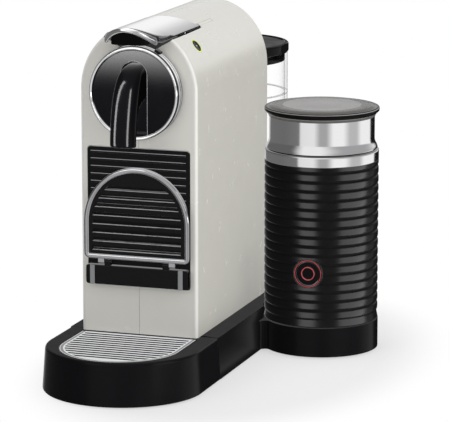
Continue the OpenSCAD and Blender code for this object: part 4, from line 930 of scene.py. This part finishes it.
sleeve_line = [(43.6, SLEEVE_LOW), (45.8, SLEEVE_LOW), (46.3, SLEEVE_LOW + 0.4), (46.6, SLEEVE_LOW + 1.1)]
for i in range(17):
    for t in [k / 8 for k in range(-8, 9)]:
        z = SLEEVE_LOW + 2.4 + (i + 1 + t * 0.5) * PITCH
        if z < SLEEVE_TOP - 1.4:
            sleeve_line.append((SLEEVE_R - RIB_DEPTH * abs(t) ** 3.6, z))
sleeve_line += [(46.5, SLEEVE_TOP - 1.2), (46.6, SLEEVE_TOP - 0.7), (46.4, SLEEVE_TOP), (43.6, SLEEVE_TOP)]
collar_line = [(11.2, 43.0), (12.6, 43.0), (12.6, 46.2), (12.2, 46.58), (11.5, 46.58), (11.2, 46.3)]
sleeve = joined(carved(lathe(sleeve_line, 192), moved(rod(12.0, 30, 60, 64), AT_ROUND_BUTTON)),
                moved(lathe(collar_line, 96), AT_ROUND_BUTTON))
ribbed_black = moulded("ribbed_black", (0.001, 0.001, 0.001), 0.24, grain=160.0, strength=0.03, shine=0.03)
sleeve_piece = fitted("sleeve_piece", sleeve, ribbed_black, "jug_sleeve", place=CUP, sharp=50)

jug_line = [(0, 84), (37, 84), (40, 87), (40, 157.58), (46.45, 157.58), (46.6, 157.8), (46.6, 164.6),
            (46.4, 165.4), (45.6, 165.8), (44.3, 166.0), (44.1, 166.4), (44.3, 167.0), (45.5, 167.3),
            (45.4, 168.0), (44.9, 169.4), (43.9, 171.2), (43.2, 173.2), (43.05, 175.0), (43.05, 193.0),
            (43.3, 194.4), (44.1, 195.6), (45.9, 197.3), (46.3, 197.9), (46.4, 198.3), (46.2, 198.68),
            (45.9, 198.68), (45.7, 198.4), (43.4, 196.2), (42.7, 193.68), (42.7, 172.68), (39.1, 165.28),
            (39.1, 87.5), (36.5, 84.9), (2.4, 84.9), (2.4, 90.8), (2.2, 91), (0, 91)]
jug_piece = fitted("jug_piece", lathe(jug_line, 192), collar_steel, "steel_jug", place=CUP, sharp=50)

lid_line = [(0, 199.98), (39.4, 199.98), (39.4, 191.8), (40.85, 191.8), (40.85, 198.78), (46.25, 198.78),
            (46.45, 198.4), (46.4, 197.8), (44.2, 195.5), (43.5, 194.3), (43.2, 193.2), (43.45, 193.1),
            (43.8, 194.2), (44.5, 195.3), (46.75, 197.5), (46.9, 198.3), (46.9, 199.5), (46.5, 200.2),
            (45.6, 200.6), (44.6, 200.5), (44.1, 200.2), (43.5, 200.4), (42.0, 201.1), (40.6, 201.5),
            (39.3, 201.75), (38.8, 201.5), (38.3, 201.75), (20.0, 201.78), (19.3, 201.6), (18.6, 201.78),
            (0, 201.78)]
fitted("lid_piece", lathe(lid_line, 192), smoke_lid, "jug_lid", place=CUP, sharp=50)

round_cap_line = [(0, 46.5), (3.9, 46.65), (4.3, 46.6), (4.55, 46.1), (5.85, 46.1), (6.1, 46.6), (6.5, 46.72),
                  (8.7, 46.8), (9.3, 46.6), (9.6, 46.1), (9.6, 43.8), (0, 43.8)]
light_line = [(4.85, 46.0), (4.85, 46.5), (4.95, 46.65), (5.4, 46.65), (5.5, 46.5), (5.5, 46.0)]
seat_line = [(9.9, 43.6), (9.9, 46.4), (10.1, 46.6), (11.0, 46.6), (11.2, 46.4), (11.2, 43.6)]
outer_line = [(10.5, 46.3), (10.5, 46.7), (10.6, 46.76), (10.9, 46.76), (11.0, 46.7), (11.0, 46.3)]
for name, profile, finish, given in (("cap", round_cap_line, cap_black, {"nodes": "jug_button"}),
                                     ("light", light_line, glow_red, {"nodes": "jug_button_light"}),
                                     ("seat", seat_line, cap_black, {"nodes": "jug_button_bezel"}),
                                     ("ring", outer_line, glow_red, {"body": "jug", "slot": "glow_red"})):
    fitted("round_button_" + name, lathe(profile, 96), finish, place=CUP @ AT_ROUND_BUTTON, **given)

# ---------------------------------------------------------------- the other pieces, with their edges broken

REFINED = [
    ("support_bracket", 0.3, grey_satin), ("support_pins", 0.15, steel_plain),
    ("cup_support_grid", 0.5, bar_black), ("drip_grid", 0.35, grid_steel),
    ("capsule_container", 0.4, satin), ("rear_cover", 0.4, satin), ("base_plate", 0.3, satin),
    ("rubber_feet", 0.4, rubber), ("base_screws", 0.15, steel_plain), ("cord_gland", 0.4, rubber),
    ("contact_hub", 0.3, satin), ("inner_frame", 0.3, inner_dark), ("frame_screws", 0.15, steel_plain),
    ("spout_latch", 0.5, piano), ("capsule_chute", 0.3, inner_dark), ("pressure_head", 0.3, inner_dark),
    ("lever_pins", 0.2, inner_dark), ("water_heater", 0.6, heater_cast), ("heater_bracket", 0.2, steel_plain),
    ("pump", 0.5, inner_dark), ("pump_mounts", 0.3, rubber), ("flow_meter", 0.3, white_plastic),
    ("control_board", 0.1, board_green), ("valve_seat", 0.2, rubber), ("lever_liner", 0.5, gap_black),
    ("lever_arms", 0.3, gap_black), ("capsule_cage", 0.3, brass), ("water_tank", 0.5, tank_clear),
    ("tank_valve", 0.3, satin), ("lid_insert", 0.25, lid_dull), ("jug_base", 0.3, satin),
    ("jug_motor", 0.5, motor_steel), ("drive_magnet", 0.4, inner_dark), ("whisk", 0.2, steel_plain),
    ("lid_seal", 0.3, rubber), ("water_hoses", 0.1, hose_milky),
]
for refined_node, edge_width, its_finish in REFINED:
    refined(refined_node, edge_width, its_finish)
refined("tank_lid", 3.0, deck_black, 5, 40, lid_rim_edge)

# ---------------------------------------------------------------- floor, light and camera

pale = Finish("studio_floor", (0.90, 0.90, 0.90), Specular_IOR_Level=0.35)
pale.feed(Base_Color=pale.tint(pale.grain(3.0, 3.0), (0.90, 0.90, 0.90), (0.92, 0.92, 0.92)))
pale.wear(0.12, 0.16, 8.0)
pale.bump(pale.grain(60.0, 3.0), 0.02, 0.0005)
# the floor turns plain white outside an ellipse round the object, where its shadow has faded
seen = pale.node("ShaderNodeLightPath", {}, output="Is Camera Ray")
lit = pale.node("ShaderNodeEmission", {}, (1.0, 1.0, 1.0, 1.0), 1.0)
floor_x, floor_y = pale.along("X", 10.0), 0.62 * pale.along("Y")
away = (floor_x * floor_x + floor_y * floor_y) ** 0.5
white = seen * (0.45 + 0.55 * away.between(108.0, 168.0))
blend = pale.node("ShaderNodeMixShader", {}, white, Wire(pale, pale.shader.outputs[0]), lit)
pale.tree.links.new(blend.socket, pale.tree.nodes["Material Output"].inputs["Surface"])
pale.material.cycles.emission_sampling = "NONE"
floor_bm = bmesh.new()
bmesh.ops.create_grid(floor_bm, x_segments=8, y_segments=8, size=20.0 / MM)
floor_bm.transform(Matrix.Scale(MM, 4))
floor = as_object(floor_bm, "studio_floor")
floor.data.materials.append(pale.material)
floor.visible_glossy = False


class Sky(Finish):
    """The room: white to the camera, even light, and bands of light and dark for the shiny pieces."""

    def __init__(self):
        world = bpy.data.worlds.new("studio")
        bpy.context.scene.world = world
        world.use_nodes = True
        self.tree = world.node_tree
        self.shader = self.tree.nodes["Background"]
        towards = self.node("ShaderNodeTexCoord", {}, output="Generated")
        x, y, z = [self.node("ShaderNodeSeparateXYZ", {}, towards, output=i) for i in range(3)]
        turn = x.angle_from(-1.0 * y) / (2 * math.pi) + 0.5
        bands = self.node("ShaderNodeValToRGB", {"stops": [
            (0.000, 0.01), (0.028, 0.01), (0.045, 0.60), (0.112, 0.66), (0.126, 0.17), (0.300, 0.16),
            (0.408, 0.20), (0.414, 0.85), (0.500, 0.90), (0.535, 0.42), (0.575, 0.42), (0.615, 1.0),
            (0.680, 1.0), (0.722, 0.55), (0.775, 0.55), (0.810, 1.0), (0.904, 1.0), (0.918, 0.01),
            (1.000, 0.01)]}, turn)
        above = self.tint(x.between(0.15, 0.85), (0.95, 0.95, 0.95), (0.40, 0.40, 0.41))
        above = self.tint(x.between(-0.75, -0.35), (0.13, 0.13, 0.13), above)
        mirrored = self.tint(z.between(-0.02, 0.12), bands, above)
        path = [self.node("ShaderNodeLightPath", {}, output=name) for name in
                ("Is Camera Ray", "Is Glossy Ray", "Is Transmission Ray")]
        shade = self.tint(path[1], (0.50, 0.50, 0.51), mirrored)
        shade = self.tint((path[0] + path[2]).clamp(), shade, (1.0, 1.0, 1.0))
        self.feed(Color=shade)


Sky()


def softbox(name, place, aim, size, power, colour=(1.0, 1.0, 1.0)):
    data = bpy.data.lights.new(name, "AREA")
    data.shape = "RECTANGLE"
    data.size, data.size_y = size
    data.energy = power
    data.color = colour
    lamp_object = bpy.data.objects.new(name, data)
    bpy.context.scene.collection.objects.link(lamp_object)
    lamp_object.location = place
    lamp_object.rotation_euler = (Vector(aim) - Vector(place)).to_track_quat("-Z", "Y").to_euler()
    return lamp_object


studio = [softbox("right_softbox", (1.6, -0.5, 1.0), (0.0, 0.0, 0.16), (0.9, 1.1), 7.6, (1.0, 0.995, 0.97)),
          softbox("low_softbox", (1.3, -0.4, 0.12), (0.0, 0.0, 0.08), (1.0, 0.2), 2.6),
          softbox("front_softbox", (-0.9, -1.8, 0.9), (0.0, 0.0, 0.14), (0.8, 0.8), 4.8),
          softbox("top_softbox", (0.1, 0.1, 1.9), (0.0, 0.0, 0.1), (1.1, 1.1), 3.2)]
# the steel collar and the spout mirror the room and their own strips, not these lamps
mirror_free = bpy.data.collections.new("mirror_free")
mirror_free.objects.link(jug_piece)
mirror_free.objects.link(spout_piece)
for lamp_object in studio:
    lamp_object.light_linking.receiver_collection = mirror_free
for member in mirror_free.collection_objects:
    member.light_linking.link_state = "EXCLUDE"

# long soft highlights, from strips that light one piece alone
for piece, place, size, power in ((spout_piece, (-0.577, -0.569, 0.65), (0.17, 1.5), 50.0),
                                  (spout_piece, (0.158, -0.785, 0.45), (0.16, 1.1), 35.0),
                                  (sleeve_piece, (1.555, -0.07, -0.15), (1.8, 1.6), 220.0),
                                  (sleeve_piece, (-0.218, -1.41, -0.15), (0.85, 1.6), 130.0),
                                  (disc_piece, (-0.204, -0.569, 0.300), (0.5, 0.25), 3.8)):
    aim = FROTHER * MM if piece is sleeve_piece else Vector((MACHINE.x * MM, -0.115, 0.0))
    strip = softbox(piece.name + "_highlight", place, (aim.x, aim.y, place[2]), size, power)
    strip.visible_camera = False
    alone = bpy.data.collections.new(strip.name)
    alone.objects.link(piece)
    strip.light_linking.receiver_collection = alone
    strip.light_linking.blocker_collection = alone

camera = bpy.data.objects.new("camera", bpy.data.cameras.new("camera"))
bpy.context.scene.collection.objects.link(camera)
camera.location = (0.7468, -2.2256, 0.5928)
camera.rotation_euler = (math.radians(90 - 11.36), 0.0, math.radians(18.59))
camera.data.sensor_width = 36.0
camera.data.lens = 238.5
bpy.context.scene.camera = camera
bpy.context.scene.view_settings.view_transform = "Standard"
